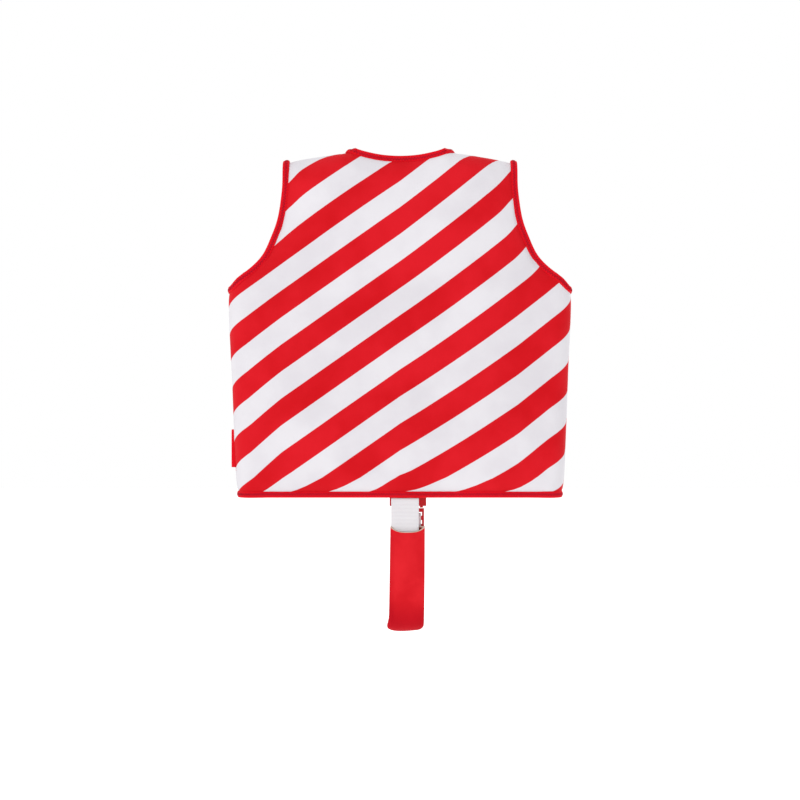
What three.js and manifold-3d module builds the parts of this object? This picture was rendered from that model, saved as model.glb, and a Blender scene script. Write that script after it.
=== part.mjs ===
// A child's swim float vest: padded back and front panels, a front zip, and a crotch strap with
// a padded sleeve and a side release buckle. Millimetres, +Z up to the neck, the back faces +Y
// and the zip faces -Y, so +X is the wearer's left. The origin lies between the shoulders.
import * as THREE from 'three';
import { mergeVertices } from 'three/addons/utils/BufferGeometryUtils.js';
import Module from 'manifold-3d';

const wasm = await Module();
wasm.setup();

// ---------------------------------------------------------------- driving dimensions
const gap = 0.3;                    // running gap between pieces that touch

// outline of the vest
const neckPeakZ = 6;                // highest point of the neckline, at the shoulder
const neckHalf = 44.3;              // half the width between the two neck peaks
const backNeckDip = 6.2;            // how far the back neckline dips at its middle
const frontNeckDrop = 66;           // how far the front neckline drops from peak to zip
const shoulderHalf = 108;           // half the width across the shoulders
const shoulderFall = 11;            // how far the shoulder slopes down to its outer corner
const armpitDrop = 126;             // from the neck peak down to the armpit
const bodyLength = 320.3;           // from the neck peak down to the hem
const chestHalf = 156.5;            // half the width at the armpits
const hemHalf = 148.5;              // half the width at the hem

// thicknesses, measured out from the middle plane of the empty vest
const torsoHalf = 5;                // half the space left for the body
const edgeFoam = 0.5;               // foam left at the bound edges
const sideRadius = 16;              // outside of the rounded sides
const crown = 7;                    // extra fullness of the foam in the middle of a panel
const liningThickness = 1.5;
const shellThickness = 2.2;
const foamInset = 13;               // foam stops this far inside the panel edge
const foamClearance = 1.8;
const bindingWidth = 5;
const curvedEdgeGap = 0.9;          // gap between a curved panel edge and its binding
const gussetThickness = 3;
const sideClearance = 1;            // between the back's rounded side and what turns inside it
const bindingProud = 0.6;           // binding stands this far out of the panel edge

// zip
const zipHalfGap = 12;              // from the middle of the zip to the panel edge
const zipEndAboveHem = 42.3;        // from the hem up to the end of the teeth
const toothPitch = 5.2;
const toothHeight = 2;
const toothTip = 0.9;               // from the middle of the zip to a tooth's tip
const chainHalf = 3.4;              // half the width of the closed chain
const chainDepth = 8.9;             // middle of the chain, out from the middle plane
const chainThickness = 3.2;
const tapeThickness = 1;
const sliderHeight = 14;
const sliderHalf = 5.5;
const sliderPlate = 1.4;
const sliderClearance = 0.4;
const pullLength = 26;
const pullWidth = 8;
const pullThickness = 1.2;
const pullTopBar = 1.8;             // height of the bar that hangs behind the slider's bridge
const pullStandoff = 1.3;           // from the slider's front plate to the middle of the pull
const pullRise = 8.8;               // from the slider's bottom to the pull's axis
const bridgeRise = 4.2;
const bridgeHalf = 1.5;
const bridgeBar = 1.2;
const zipEndHeight = 6.5;           // height of the insertion pin and of the retaining box

// crotch strap
const webbingWidth = 25;
const webbingThickness = 1.6;
const strapX = -7;                  // middle of the sleeve and of the front leg
const backLegX = -5;                // middle of the back leg
const backLegY = 8;
const frontLegY = -14;
const sleeveSideRoom = 3.35;        // from the webbing's edge to the sleeve's side
const sleeveThickness = 8;
const sleeveChannelThickness = 2.8;
const sleeveSideWall = 1.2;
const sleeveBelowHem = 27.7;        // from the hem down to the sleeve's top
const sleeveLength = 96.5;
const backLegInSleeve = 38;         // how far the back leg reaches into the sleeve
const tailLength = 42;

// buckle, middle at buckleX
const buckleX = -7.4;
const socketSide = 4.5;             // the socket stands out this far beside the webbing
const socketAboveHem = 24.3;        // from the hem up to the socket's strap bar
const socketHeight = 33;
const socketDepth = [12.4, 21.4];   // back and front of the socket
const socketWall = 1.5;
const socketArm = 3;                // width of the arms beside the strap bar
const barHeight = 4.2;
const loopHeight = 10;              // from the socket's strap bar down to its body
const slotRoom = 0.6;               // slots are this much wider than the webbing, each side
const ladderRail = 1.9;             // width of the rails beside the ladder's slots
const ladderHeight = 16.6;
const ladderSlot = 3.6;
const prongWidth = 3;
const prongHook = 2.6;

// side tab
const tabHeight = 35;
const tabReach = 4;
const tabAboveHem = 62.8;           // from the hem up to the tab's top

// ---------------------------------------------------------------- values worked out from them
const hemZ = neckPeakZ - bodyLength;
const armpitZ = neckPeakZ - armpitDrop;
const shoulderEndZ = neckPeakZ - shoulderFall;
const panelBottom = hemZ + bindingWidth + gap;
const sideArc = sideRadius * Math.PI / 2;
const armpitAxis = chestHalf - sideRadius;      // side axis at the armpit
const hemAxis = hemHalf - sideRadius;           // side axis at the hem
const liningDepth = [torsoHalf, torsoHalf + liningThickness];
const edgeDepth = liningDepth[1] + gap + edgeFoam + shellThickness;    // outside at the bound edges
const sleeveWidth = webbingWidth + 2 * sleeveSideRoom;
const buckleWidth = webbingWidth + 2 * socketSide;
const ladderWidth = webbingWidth + 2 * (slotRoom + ladderRail);

// ---------------------------------------------------------------- materials
const finish = (colour, roughness, metalness = 0) =>
  new THREE.MeshStandardMaterial({ color: colour, roughness, metalness });
const materials = {
  stripe: finish(0xdb2630, 0.75),
  lining: finish(0xc41c26, 0.8),
  foam: finish(0xe9e4d8, 0.9),
  binding: finish(0xd4121f, 0.7),
  webbing: finish(0xf1eef2, 0.6),
  sleeve: finish(0xe02a32, 0.8),
  buckle: finish(0xcf1a26, 0.35),
  zipTape: finish(0xc81824, 0.8),
  zipTeeth: finish(0xe8e6e8, 0.4),
};

// ---------------------------------------------------------------- helpers
const group = new THREE.Group();

function add(name, geometry, material) {
  const piece = new THREE.Mesh(geometry, material);
  piece.name = name;
  group.add(piece);
}

const mix = (a, b, t) => a + (b - a) * t;
const clamp = (t) => Math.min(1, Math.max(0, t));
const ease = (t) => clamp(t) ** 2 * (3 - 2 * clamp(t));

// Turn a geometry's faces outwards if its mapping turned it inside out.
function facingOut(geometry) {
  const p = geometry.attributes.position;
  const index = geometry.index.array;
  const [a, b, c] = [0, 1, 2].map(() => new THREE.Vector3());
  let volume = 0;
  for (let i = 0; i < index.length; i += 3) {
    a.fromBufferAttribute(p, index[i]);
    b.fromBufferAttribute(p, index[i + 1]);
    c.fromBufferAttribute(p, index[i + 2]);
    volume += a.dot(b.cross(c));
  }
  if (volume < 0) {
    for (let i = 0; i < index.length; i += 3) {
      [index[i], index[i + 1]] = [index[i + 1], index[i]];
    }
  }
  return geometry;
}

// A box whose corners and grid points go where place(u, v, w), each 0 to 1, puts them.
function mappedBox(segments, place) {
  const box = new THREE.BoxGeometry(1, 1, 1, ...segments);
  const p = box.attributes.position;
  for (let i = 0; i < p.count; i++) {
    p.setXYZ(i, ...place(p.getX(i) + 0.5, p.getY(i) + 0.5, p.getZ(i) + 0.5));
  }
  box.deleteAttribute('normal');
  box.deleteAttribute('uv');
  return facingOut(mergeVertices(box));
}

// A plain block between two corners; depths count out from the middle plane towards the front.
function block([x0, x1], [depth0, depth1], [z0, z1]) {
  return mappedBox([1, 1, 1], (u, v, w) =>
    [mix(x0, x1, u), -mix(depth0, depth1, v), mix(z0, z1, w)]);
}

function toSolid(geometry) {
  const plain = new THREE.BufferGeometry();
  plain.setAttribute('position', geometry.attributes.position);
  if (geometry.index) plain.setIndex(geometry.index);
  const merged = mergeVertices(plain);
  return new wasm.Manifold(new wasm.Mesh({
    numProp: 3,
    vertProperties: new Float32Array(merged.attributes.position.array),
    triVerts: new Uint32Array(merged.index.array),
  }));
}

function toGeometry(solid) {
  const mesh = solid.getMesh();
  const geometry = new THREE.BufferGeometry();
  geometry.setAttribute('position', new THREE.BufferAttribute(mesh.vertProperties, 3));
  geometry.setIndex(new THREE.BufferAttribute(mesh.triVerts, 1));
  return geometry;
}

const join = (...shapes) => toGeometry(shapes.map(toSolid).reduce((a, b) => a.add(b)));
const cut = (shape, ...tools) =>
  toGeometry(tools.map(toSolid).reduce((a, b) => a.subtract(b), toSolid(shape)));

// Extrude a closed outline, drawn in the (y, z) plane, across X.
function acrossX(outline, middle, width, holes = []) {
  const turned = (points, clockwise) =>
    (THREE.ShapeUtils.isClockWise(points) === clockwise ? points : [...points].reverse());
  const shape = new THREE.Shape(turned(outline, false));
  shape.holes = holes.map((hole) => new THREE.Path(turned(hole, true)));
  const geometry = new THREE.ExtrudeGeometry(shape, { depth: width, bevelEnabled: false });
  geometry.applyMatrix4(new THREE.Matrix4().set(
    0, 0, 1, middle - width / 2,
    1, 0, 0, 0,
    0, 1, 0, 0,
    0, 0, 0, 1,
  ));
  return geometry;
}

// The outline of a ribbon of even thickness along a path in the (y, z) plane.
function ribbonOutline(path, thickness) {
  const left = [];
  const right = [];
  path.forEach((point, i) => {
    const before = path[Math.max(0, i - 1)];
    const after = path[Math.min(path.length - 1, i + 1)];
    const into = point.clone().sub(before).normalize();
    const out = after.clone().sub(point).normalize();
    const along = into.clone().add(out).normalize();
    const normal = new THREE.Vector2(-along.y, along.x);
    const stretch = 1 / Math.max(0.5, along.dot(into.lengthSq() > 0 ? into : out));
    left.push(point.clone().addScaledVector(normal, thickness / 2 * stretch));
    right.push(point.clone().addScaledVector(normal, -thickness / 2 * stretch));
  });
  return [...left, ...right.reverse()];
}

// ---------------------------------------------------------------- the vest's own coordinates
// A place on the vest is "across" (from the middle of the back or front, round the rounded
// side), "depth" (out from the middle plane) and z. face is 1 on the back and -1 on the front.
const sideAxis = (z) => mix(hemAxis, armpitAxis, (z - hemZ) / (armpitZ - hemZ));

function onVest(across, depth, z, face) {
  const side = across < 0 ? -1 : 1;
  const reach = Math.abs(across);
  const axis = sideAxis(z);
  if (reach <= armpitAxis) {
    const stretch = Math.max(0, reach - shoulderHalf) / (armpitAxis - shoulderHalf);
    const x = Math.min(reach, shoulderHalf) + stretch * (axis - shoulderHalf);
    return [side * x, face * depth, z];
  }
  const turn = (reach - armpitAxis) / sideRadius;
  return [side * (axis + depth * Math.sin(turn)), face * depth * Math.cos(turn), z];
}

// Outer edge of the armhole, from the shoulder corner to the side.
const armhole = new THREE.SplineCurve([
  [shoulderHalf, shoulderEndZ - edgeDepth],
  [shoulderHalf + 1.5, mix(shoulderEndZ, armpitZ, 0.25)],
  [shoulderHalf + 4.5, mix(shoulderEndZ, armpitZ, 0.46)],
  [shoulderHalf + 10, mix(shoulderEndZ, armpitZ, 0.61)],
  [shoulderHalf + 18, mix(shoulderEndZ, armpitZ, 0.75)],
  [mix(shoulderHalf, armpitAxis, 0.89), mix(shoulderEndZ, armpitZ, 0.85)],
  [armpitAxis + 0.3 * sideArc, mix(shoulderEndZ, armpitZ, 0.93)],
  [armpitAxis + sideArc, armpitZ],
].map(([across, z]) => new THREE.Vector2(across, z)));

// Outer edge of the front neckline, from the shoulder to the zip.
const frontNeck = new THREE.SplineCurve([
  [neckHalf, neckPeakZ - edgeDepth - 1.6],
  [neckHalf - 2, mix(neckPeakZ, neckPeakZ - frontNeckDrop, 0.4)],
  [neckHalf - 10, mix(neckPeakZ, neckPeakZ - frontNeckDrop, 0.75)],
  [zipHalfGap, neckPeakZ - frontNeckDrop],
].map(([across, z]) => new THREE.Vector2(across, z)));

// Outer edge of the back neckline, over its left half.
const backNeckZ = (across) =>
  neckPeakZ - backNeckDip * Math.cos(Math.PI / 2 * across / neckHalf);

const shoulderZ = (across) =>
  neckPeakZ - shoulderFall * (Math.abs(across) - neckHalf) / (shoulderHalf - neckHalf);

// A point beside a curve: positive distances lie towards the panel's own material.
function beside(curve, t, distance) {
  const point = curve.getPoint(t);
  const along = curve.getTangent(t);
  return point.add(new THREE.Vector2(along.y, -along.x).multiplyScalar(distance));
}

// Columns of a panel, each [across, z of its top], from the neck to the side.
const span = (from, to, count) =>
  Array.from({ length: count + 1 }, (_, i) => mix(from, to, i / count));
const panelEdge = bindingWidth + curvedEdgeGap;
const armholeSteps = 16;
const neckSteps = 10;
const shoulderSeam = edgeDepth + gap;

const armholeColumns = span(0, 1, armholeSteps).map((t) => {
  const point = beside(armhole, t, panelEdge);
  return [point.x, point.y];
});
const shoulderColumns = span(neckHalf + 1, armholeColumns[0][0] - 1, 4).map((across) =>
  [across, shoulderZ(across) - shoulderSeam]);
const backNeckColumns = span(0, neckHalf - 1, 4).map((across) =>
  [across, backNeckZ(across) - panelEdge]);
const frontNeckColumns = span(1, 1 / neckSteps, neckSteps - 1).map((t) => {
  const point = beside(frontNeck, t, -panelEdge);
  return [Math.max(point.x, zipHalfGap), point.y];
});

const halfBack = [...backNeckColumns, ...shoulderColumns, ...armholeColumns];
const halfFront = [...frontNeckColumns, ...shoulderColumns, ...armholeColumns]
  .filter(([across], i, all) => i === 0 || across > all[i - 1][0] + 0.2);
const mirrored = (columns) => columns.slice(1).reverse().map(([across, top]) => [-across, top]);
const wholeBack = [...mirrored(halfBack), ...halfBack];

function topOf(columns, across) {
  const reach = Math.abs(across);
  const next = columns.findIndex(([c]) => c >= reach);
  if (next < 0) return columns.at(-1)[1];
  if (next === 0) return columns[0][1];
  const [c0, z0] = columns[next - 1];
  const [c1, z1] = columns[next];
  return mix(z0, z1, (reach - c0) / (c1 - c0));
}

// Outside of a panel: thin at its bound edges, full in its middle.
function outsideDepth(across, z, face) {
  const half = face > 0 ? halfBack : halfFront;
  const reach = Math.abs(across);
  const down = clamp((topOf(half, across) - z) / (topOf(half, across) - panelBottom));
  const rim = 1 - (2 * down - 1) ** 4;
  const start = face > 0 ? -armpitAxis : zipHalfGap;
  const width = clamp((reach - start) / (armpitAxis - start));
  const fromZip = face > 0 ? 1 : ease((reach - zipHalfGap) / 40);
  const middle = 1 - (2 * width - 1) ** 4;
  return edgeDepth + rim * ((sideRadius - edgeDepth) * fromZip + crown * middle);
}

// A padded layer over the given columns, between two depths that may vary over the panel.
function layer(columns, face, depths, rows = 11, bottom = panelBottom) {
  return mappedBox([columns.length - 1, 1, rows], (u, v, w) => {
    const [across, top] = columns[Math.round(u * (columns.length - 1))];
    const z = mix(bottom, top, w);
    const [inner, outer] = depths(across, z);
    return onVest(across, mix(inner, outer, v), z, face);
  });
}

const onSide = (columns, side) => columns.map(([across, top]) => [side * across, top]);
const upTo = (columns, limit) => columns.filter(([across]) => Math.abs(across) <= limit);

const shellDepths = (face) => (across, z) => {
  const outside = outsideDepth(across, z, face);
  return [outside - shellThickness, outside];
};
const foamDepths = (face) => (across, z) => [
  liningDepth[1] + gap,
  Math.max(liningDepth[1] + 1, outsideDepth(across, z, face) - shellThickness - foamClearance),
];
const liningDepths = () => liningDepth;

// Columns pulled in from the armhole, the neck and the zip, for the foam.
function foamColumns(columns) {
  const half = columns.filter(([across]) => across >= 0);
  const start = half[0][0] > 0 ? half[0][0] + foamInset : 0;
  const reachOf = ([across]) =>
    mix(start, armpitAxis - foamInset, (across - half[0][0]) / (armpitAxis - half[0][0]));
  return upTo(half, armpitAxis).map((column) => {
    const reach = reachOf(column);
    return [reach, Math.min(topOf(half, reach), topOf(half, reach + foamInset)) - foamInset];
  });
}

// ---------------------------------------------------------------- panels
function panels() {
  const backFoam = foamColumns(halfBack);
  add('back_shell', layer(wholeBack, 1, shellDepths(1)), materials.stripe);
  add('back_foam', layer([...mirrored(backFoam), ...backFoam], 1, foamDepths(1), 9,
    panelBottom + foamInset), materials.foam);
  const backLining = upTo(wholeBack, armpitAxis);
  add('back_lining', layer(backLining, 1, liningDepths, 5), materials.lining);

  for (const [name, side] of [['front_left', 1], ['front_right', -1]]) {
    const flat = upTo(halfFront, armpitAxis);
    const shell = side > 0 ? flat : halfFront;
    const foam = foamColumns(halfFront);
    add(`${name}_shell`, layer(onSide(shell, side), -1, shellDepths(-1)), materials.stripe);
    add(`${name}_foam`, layer(onSide(foam, side), -1, foamDepths(-1), 9,
      panelBottom + foamInset), materials.foam);
    add(`${name}_lining`, layer(onSide(flat, side), -1, liningDepths, 5), materials.lining);
  }
}

// ---------------------------------------------------------------- sides, shoulders, bindings
// The left side is split for the opening front: the gusset turns inside the back's rounded side.
function sideGusset() {
  const columns = armholeColumns.filter(([across]) => across > armpitAxis);
  const [, seamTop] = columns[0];
  const round = [[armpitAxis + 0.2, seamTop - 0.5], ...columns.slice(1, -1),
    [armpitAxis + sideArc - 0.6, columns.at(-1)[1]]];
  const depths = (across, z) => {
    const outside = outsideDepth(armpitAxis + sideArc, z, 1) - shellThickness - sideClearance;
    return [Math.max(torsoHalf + 0.1, outside - gussetThickness), outside];
  };
  add('side_gusset_left', layer(round, -1, depths, 11), materials.lining);
}

// A roll over the shoulder that joins the back to the front.
function shoulders() {
  for (const [name, side] of [['shoulder_left', 1], ['shoulder_right', -1]]) {
    add(name, mappedBox([3, 12, 1], (u, v, w) => {
      const across = mix(neckHalf + 1, shoulderHalf - 0.5, u);
      const radius = mix(torsoHalf, edgeDepth, w);
      const turn = mix(0, Math.PI, v);
      const z = shoulderZ(across) - edgeDepth + radius * Math.sin(turn);
      return [side * across, radius * Math.cos(turn), z];
    }), materials.stripe);
  }
}

// A bar of binding along an edge; edgeAt(t, distance) gives a place across and its z.
function binding(name, steps, face, side, edgeAt, depths) {
  add(name, mappedBox([steps, 1, 1], (u, v, w) => {
    const { x, y } = edgeAt(u, v * bindingWidth);
    return onVest(side * x, mix(...depths(x), w), y, face);
  }), materials.binding);
}

const bindingDepths = () => [torsoHalf - 0.3, edgeDepth + bindingProud];
// On the left the back's binding stays outside the front's, so that the side can turn.
const splitDepth = edgeDepth - shellThickness - sideClearance;
const nearSide = (across) => ease((across - armpitAxis + 14) / 13);
const outerSideDepths = (across) => [
  mix(torsoHalf - 0.3, splitDepth + 0.7, nearSide(across)), edgeDepth + bindingProud];
const innerSideDepths = (across) => [
  torsoHalf - 0.3, mix(edgeDepth + bindingProud, splitDepth - 0.1, nearSide(across))];

function bindings() {
  const seamShare = 1 - gap / 2 / sideArc;
  for (const [name, side] of [['left', 1], ['right', -1]]) {
    const edge = (t, distance) => beside(armhole, t * seamShare, distance);
    const backDepths = side > 0 ? outerSideDepths : bindingDepths;
    const frontDepths = side > 0 ? innerSideDepths : bindingDepths;
    binding(`armhole_binding_back_${name}`, armholeSteps, 1, side, edge, backDepths);
    binding(`armhole_binding_front_${name}`, armholeSteps, -1, side, edge, frontDepths);
    binding(`neck_binding_front_${name}`, neckSteps, -1, side,
      (t, distance) => beside(frontNeck, t, -distance), bindingDepths);

    const reach = armpitAxis + sideArc * seamShare;
    binding(`hem_binding_front_${name}`, 18, -1, side, (t, distance) =>
      new THREE.Vector2(mix(zipHalfGap, reach, t), hemZ + distance), frontDepths);
    binding(`hem_binding_back_${name}`, 18, 1, side, (t, distance) =>
      new THREE.Vector2(mix(gap / 2, reach, t), hemZ + distance), backDepths);
  }
  add('neck_binding_back', mappedBox([16, 1, 1], (u, v, w) => {
    const across = mix(-neckHalf, neckHalf, u);
    return onVest(across, mix(...bindingDepths(), w), backNeckZ(across) - v * bindingWidth, 1);
  }), materials.binding);
}

function sideTab() {
  const top = hemZ + tabAboveHem;
  const start = sideAxis(top) + sideRadius + gap;
  add('side_tab', block([start, start + tabReach], [-2.6, -0.8], [top - tabHeight, top]),
    materials.binding);
}

// ---------------------------------------------------------------- zip
const chainTop = neckPeakZ - frontNeckDrop - 4;
const chainBottom = hemZ + zipEndAboveHem;
const sliderTop = chainTop - gap;
const sliderBottom = sliderTop - sliderHeight;
const chainBack = chainDepth - chainThickness / 2;
const chainFront = chainDepth + chainThickness / 2;

// A row of teeth on a spine, down one side of the zip.
function teeth(side, top, offset) {
  const outline = [[chainHalf, chainBottom], [chainHalf, top], [toothTip + 1, top]];
  for (let z = top - 1 - offset; z - toothHeight > chainBottom; z -= toothPitch) {
    outline.push([toothTip + 1, z], [toothTip, z - 0.3],
      [toothTip, z - toothHeight + 0.3], [toothTip + 1, z - toothHeight]);
  }
  outline.push([toothTip + 1, chainBottom]);
  const shape = new THREE.Shape(outline.map(([x, z]) => new THREE.Vector2(side * x, z)));
  const geometry = new THREE.ExtrudeGeometry(shape, { depth: chainThickness, bevelEnabled: false });
  return geometry.rotateX(Math.PI / 2).translate(0, -chainBack, 0);
}

function zip() {
  const tapeDepths = [chainDepth - tapeThickness / 2, chainDepth + tapeThickness / 2];
  const stopHeight = 3;
  for (const [name, side, top] of [['left', 1, sliderBottom - stopHeight], ['right', -1, chainTop]]) {
    const spread = (a, b) => [side * a, side * b];
    add(`zip_teeth_${name}`, teeth(side, top - 2 * gap, side > 0 ? 0 : toothPitch / 2),
      materials.zipTeeth);
    add(`zip_tape_${name}`, block(spread(chainHalf + gap, zipHalfGap - gap), tapeDepths,
      [chainBottom - zipEndHeight, top + (side > 0 ? 0 : stopHeight)]), materials.zipTape);
    add(`zip_top_stop_${name}`, block(spread(toothTip + 0.4, chainHalf), [chainBack, chainFront],
      [top, top + stopHeight - gap]), materials.zipTeeth);
  }

  const pinBottom = chainBottom - gap - zipEndHeight;
  add('zip_insertion_pin', block([toothTip, toothTip + 2], [chainBack, chainFront],
    [pinBottom, chainBottom - gap]), materials.zipTeeth);
  add('zip_retaining_box', block([-chainHalf - 0.6, chainHalf + 0.6],
    [chainBack - 0.7, chainFront + 0.7], [pinBottom - gap - zipEndHeight, pinBottom - gap]),
    materials.zipTeeth);

  const height = [sliderBottom, sliderTop];
  const front = chainFront + sliderClearance;
  const back = chainBack - sliderClearance;
  const bridgeTop = front + sliderPlate + bridgeRise;
  const bridge = [-bridgeHalf, bridgeHalf];
  add('zip_slider', join(
    block([-sliderHalf, sliderHalf], [front, front + sliderPlate], height),
    block([-sliderHalf, sliderHalf], [back - sliderPlate, back], height),
    block([-toothTip + gap, toothTip - gap], [back - 0.5, front + 0.5],
      [sliderTop - 5, sliderTop]),
    block(bridge, [front + 0.5, bridgeTop], [sliderTop - 3.5, sliderTop - 1.5]),
    block(bridge, [bridgeTop - bridgeBar, bridgeTop], [sliderBottom + 1.5, sliderTop - 1.5]),
    block(bridge, [front + 0.5, bridgeTop], [sliderBottom + 1.5, sliderBottom + 3]),
  ), materials.zipTeeth);

  // The pull's eye goes round the bridge, its top bar hangs behind it, and its blade is below.
  const middle = front + sliderPlate + pullStandoff;
  const pullTop = sliderBottom + pullRise + pullTopBar / 2;
  const eyeHeight = Math.hypot(pullRise - 1.5, bridgeRise - pullStandoff) + 1 - pullTopBar / 2;
  add('zip_pull', cut(
    block([-pullWidth / 2, pullWidth / 2], [middle - pullThickness / 2, middle + pullThickness / 2],
      [pullTop - pullLength, pullTop]),
    block([-bridgeHalf - 0.7, bridgeHalf + 0.7], [middle - 3, middle + 3],
      [pullTop - pullTopBar - eyeHeight, pullTop - pullTopBar]),
  ), materials.zipTeeth);
}

// ---------------------------------------------------------------- crotch strap and buckle
const sleeveTop = hemZ - sleeveBelowHem;
const bendY = (backLegY + frontLegY) / 2;
const bendRadius = (backLegY - frontLegY) / 2;
const bendZ = sleeveTop - sleeveLength + bendRadius + sleeveThickness / 2;
const point = (y, z) => new THREE.Vector2(y, z);

// Down the back leg, round the bend and up the front leg.
function strapPath(backTop, frontTop) {
  const bend = span(0, Math.PI, 10).map((turn) =>
    point(bendY + bendRadius * Math.cos(turn), bendZ - bendRadius * Math.sin(turn)));
  return [point(backLegY, backTop), ...bend, point(frontLegY, frontTop)];
}

const socketTop = hemZ + socketAboveHem;
const socketBottom = socketTop - socketHeight;
const socketMiddle = (socketDepth[0] + socketDepth[1]) / 2;
const bodyTop = socketTop - loopHeight;
const ladderTop = socketBottom - 2.4;
const ladderBottom = ladderTop - ladderHeight;
const upperSlotTop = ladderTop - 3.4;
const lowerSlotTop = ladderBottom + 2 + ladderSlot;
const ladderDepth = [-frontLegY + webbingThickness / 2 + 0.4, socketDepth[1] - 1];
const prongReach = ladderWidth / 2 - 2.5;       // middle of a prong's foot from buckleX
const prongFoot = ladderTop + 0.7;
const prongTop = bodyTop - 6;

function strap() {
  const anchorDepth = backLegY;
  add('strap_back_leg', block([backLegX - webbingWidth / 2, backLegX + webbingWidth / 2],
    [-anchorDepth - webbingThickness / 2, -anchorDepth + webbingThickness / 2],
    [sleeveTop - backLegInSleeve, hemZ - gap]), materials.webbing);

  const long = strapPath(sleeveTop + 5, sleeveTop + 5);
  const outer = acrossX(ribbonOutline(strapPath(sleeveTop, sleeveTop), sleeveThickness),
    strapX, sleeveWidth);
  const channel = acrossX(ribbonOutline(long, sleeveChannelThickness),
    strapX, sleeveWidth - 2 * sleeveSideWall);
  add('strap_sleeve', cut(outer, channel), materials.sleeve);

  // The front leg runs up behind the ladder, forward through its upper slot, and down as a tail.
  const slotZ = upperSlotTop - ladderSlot / 2;
  const tailY = -(ladderDepth[1] + gap + webbingThickness / 2 + 0.3);
  const path = [...strapPath(sleeveTop - backLegInSleeve - gap, slotZ - 0.8),
    point(frontLegY - 0.8, slotZ), point(tailY + 0.8, slotZ), point(tailY, slotZ - 0.8),
    point(tailY, slotZ - tailLength)];
  add('strap_front_leg', acrossX(ribbonOutline(path, webbingThickness), strapX, webbingWidth),
    materials.webbing);

  // The front tab is a loop of webbing sewn to the right front half, round the socket's bar.
  const barZ = socketTop - barHeight / 2;
  const loop = (halfDepth, above, below) => [
    point(-barDepth - halfDepth, barZ + above), point(-barDepth + halfDepth, barZ + above),
    point(-barDepth + halfDepth, barZ - below), point(-barDepth - halfDepth, barZ - below)];
  add('strap_front_tab', acrossX(loop(2.5, barHeight / 2 + 7, barHeight / 2 + 2),
    buckleX, webbingWidth, [loop(1.1, barHeight / 2 + 0.5, barHeight / 2 + 0.5)]), materials.webbing);
}

const barDepth = socketDepth[0] + 2.8;

function buckle() {
  const sides = (half) => [buckleX - half, buckleX + half];
  const arm = (side) => {
    const outer = buckleX + side * (buckleWidth / 2 - 1);
    return block([outer - side * socketArm, outer], [barDepth - 2.5, barDepth + 2.5],
      [bodyTop - 1, socketTop]);
  };
  add('buckle_socket', join(
    cut(block(sides(buckleWidth / 2), socketDepth, [socketBottom, bodyTop]),
      block(sides(buckleWidth), [socketDepth[0] + socketWall, socketDepth[1] - socketWall],
        [socketBottom - 5, bodyTop - 3])),
    arm(-1), arm(1),
    block(sides(buckleWidth / 2 - 1 - socketArm / 2), [barDepth - 0.7, barDepth + 0.7],
      [socketTop - barHeight, socketTop]),
  ), materials.buckle);

  const slot = (top) => block(sides(webbingWidth / 2 + slotRoom), [0, 40], [top - ladderSlot, top]);
  add('buckle_plug', join(
    cut(block(sides(ladderWidth / 2), ladderDepth, [ladderBottom, ladderTop]),
      slot(upperSlotTop), slot(lowerSlotTop)),
    block(sides(3), [socketMiddle - 1.6, socketMiddle + 1.6], [ladderTop - 1, prongTop - 2]),
  ), materials.buckle);

  for (const [name, side] of [['left', 1], ['right', -1]]) {
    const x = (distance) => buckleX + side * distance;
    add(`buckle_prong_${name}`, join(
      block([x(prongReach - prongWidth / 2), x(prongReach + prongWidth / 2)],
        [socketMiddle - 2.4, socketMiddle + 2.4], [prongFoot, prongTop]),
      block([x(prongReach), x(prongReach + prongWidth / 2 + prongHook)],
        [socketMiddle - 2.4, socketMiddle + 2.4], [prongTop - 8, prongTop - 1]),
    ), materials.buckle);
  }
}

panels();
sideGusset();
shoulders();
bindings();
sideTab();
zip();
strap();
buckle();

export default group;
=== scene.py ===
# %% [markdown]
# A child's swim float vest: padded back and front, a zip, and a crotch strap in a soft sleeve.
# The frame is a packed working model of the vest, so every size and place here starts from it.
# Everything is in metres, +Z is up, and the back of the vest faces +Y.

# %% The frame
import math

import bmesh
import bpy
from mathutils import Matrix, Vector, noise


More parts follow.
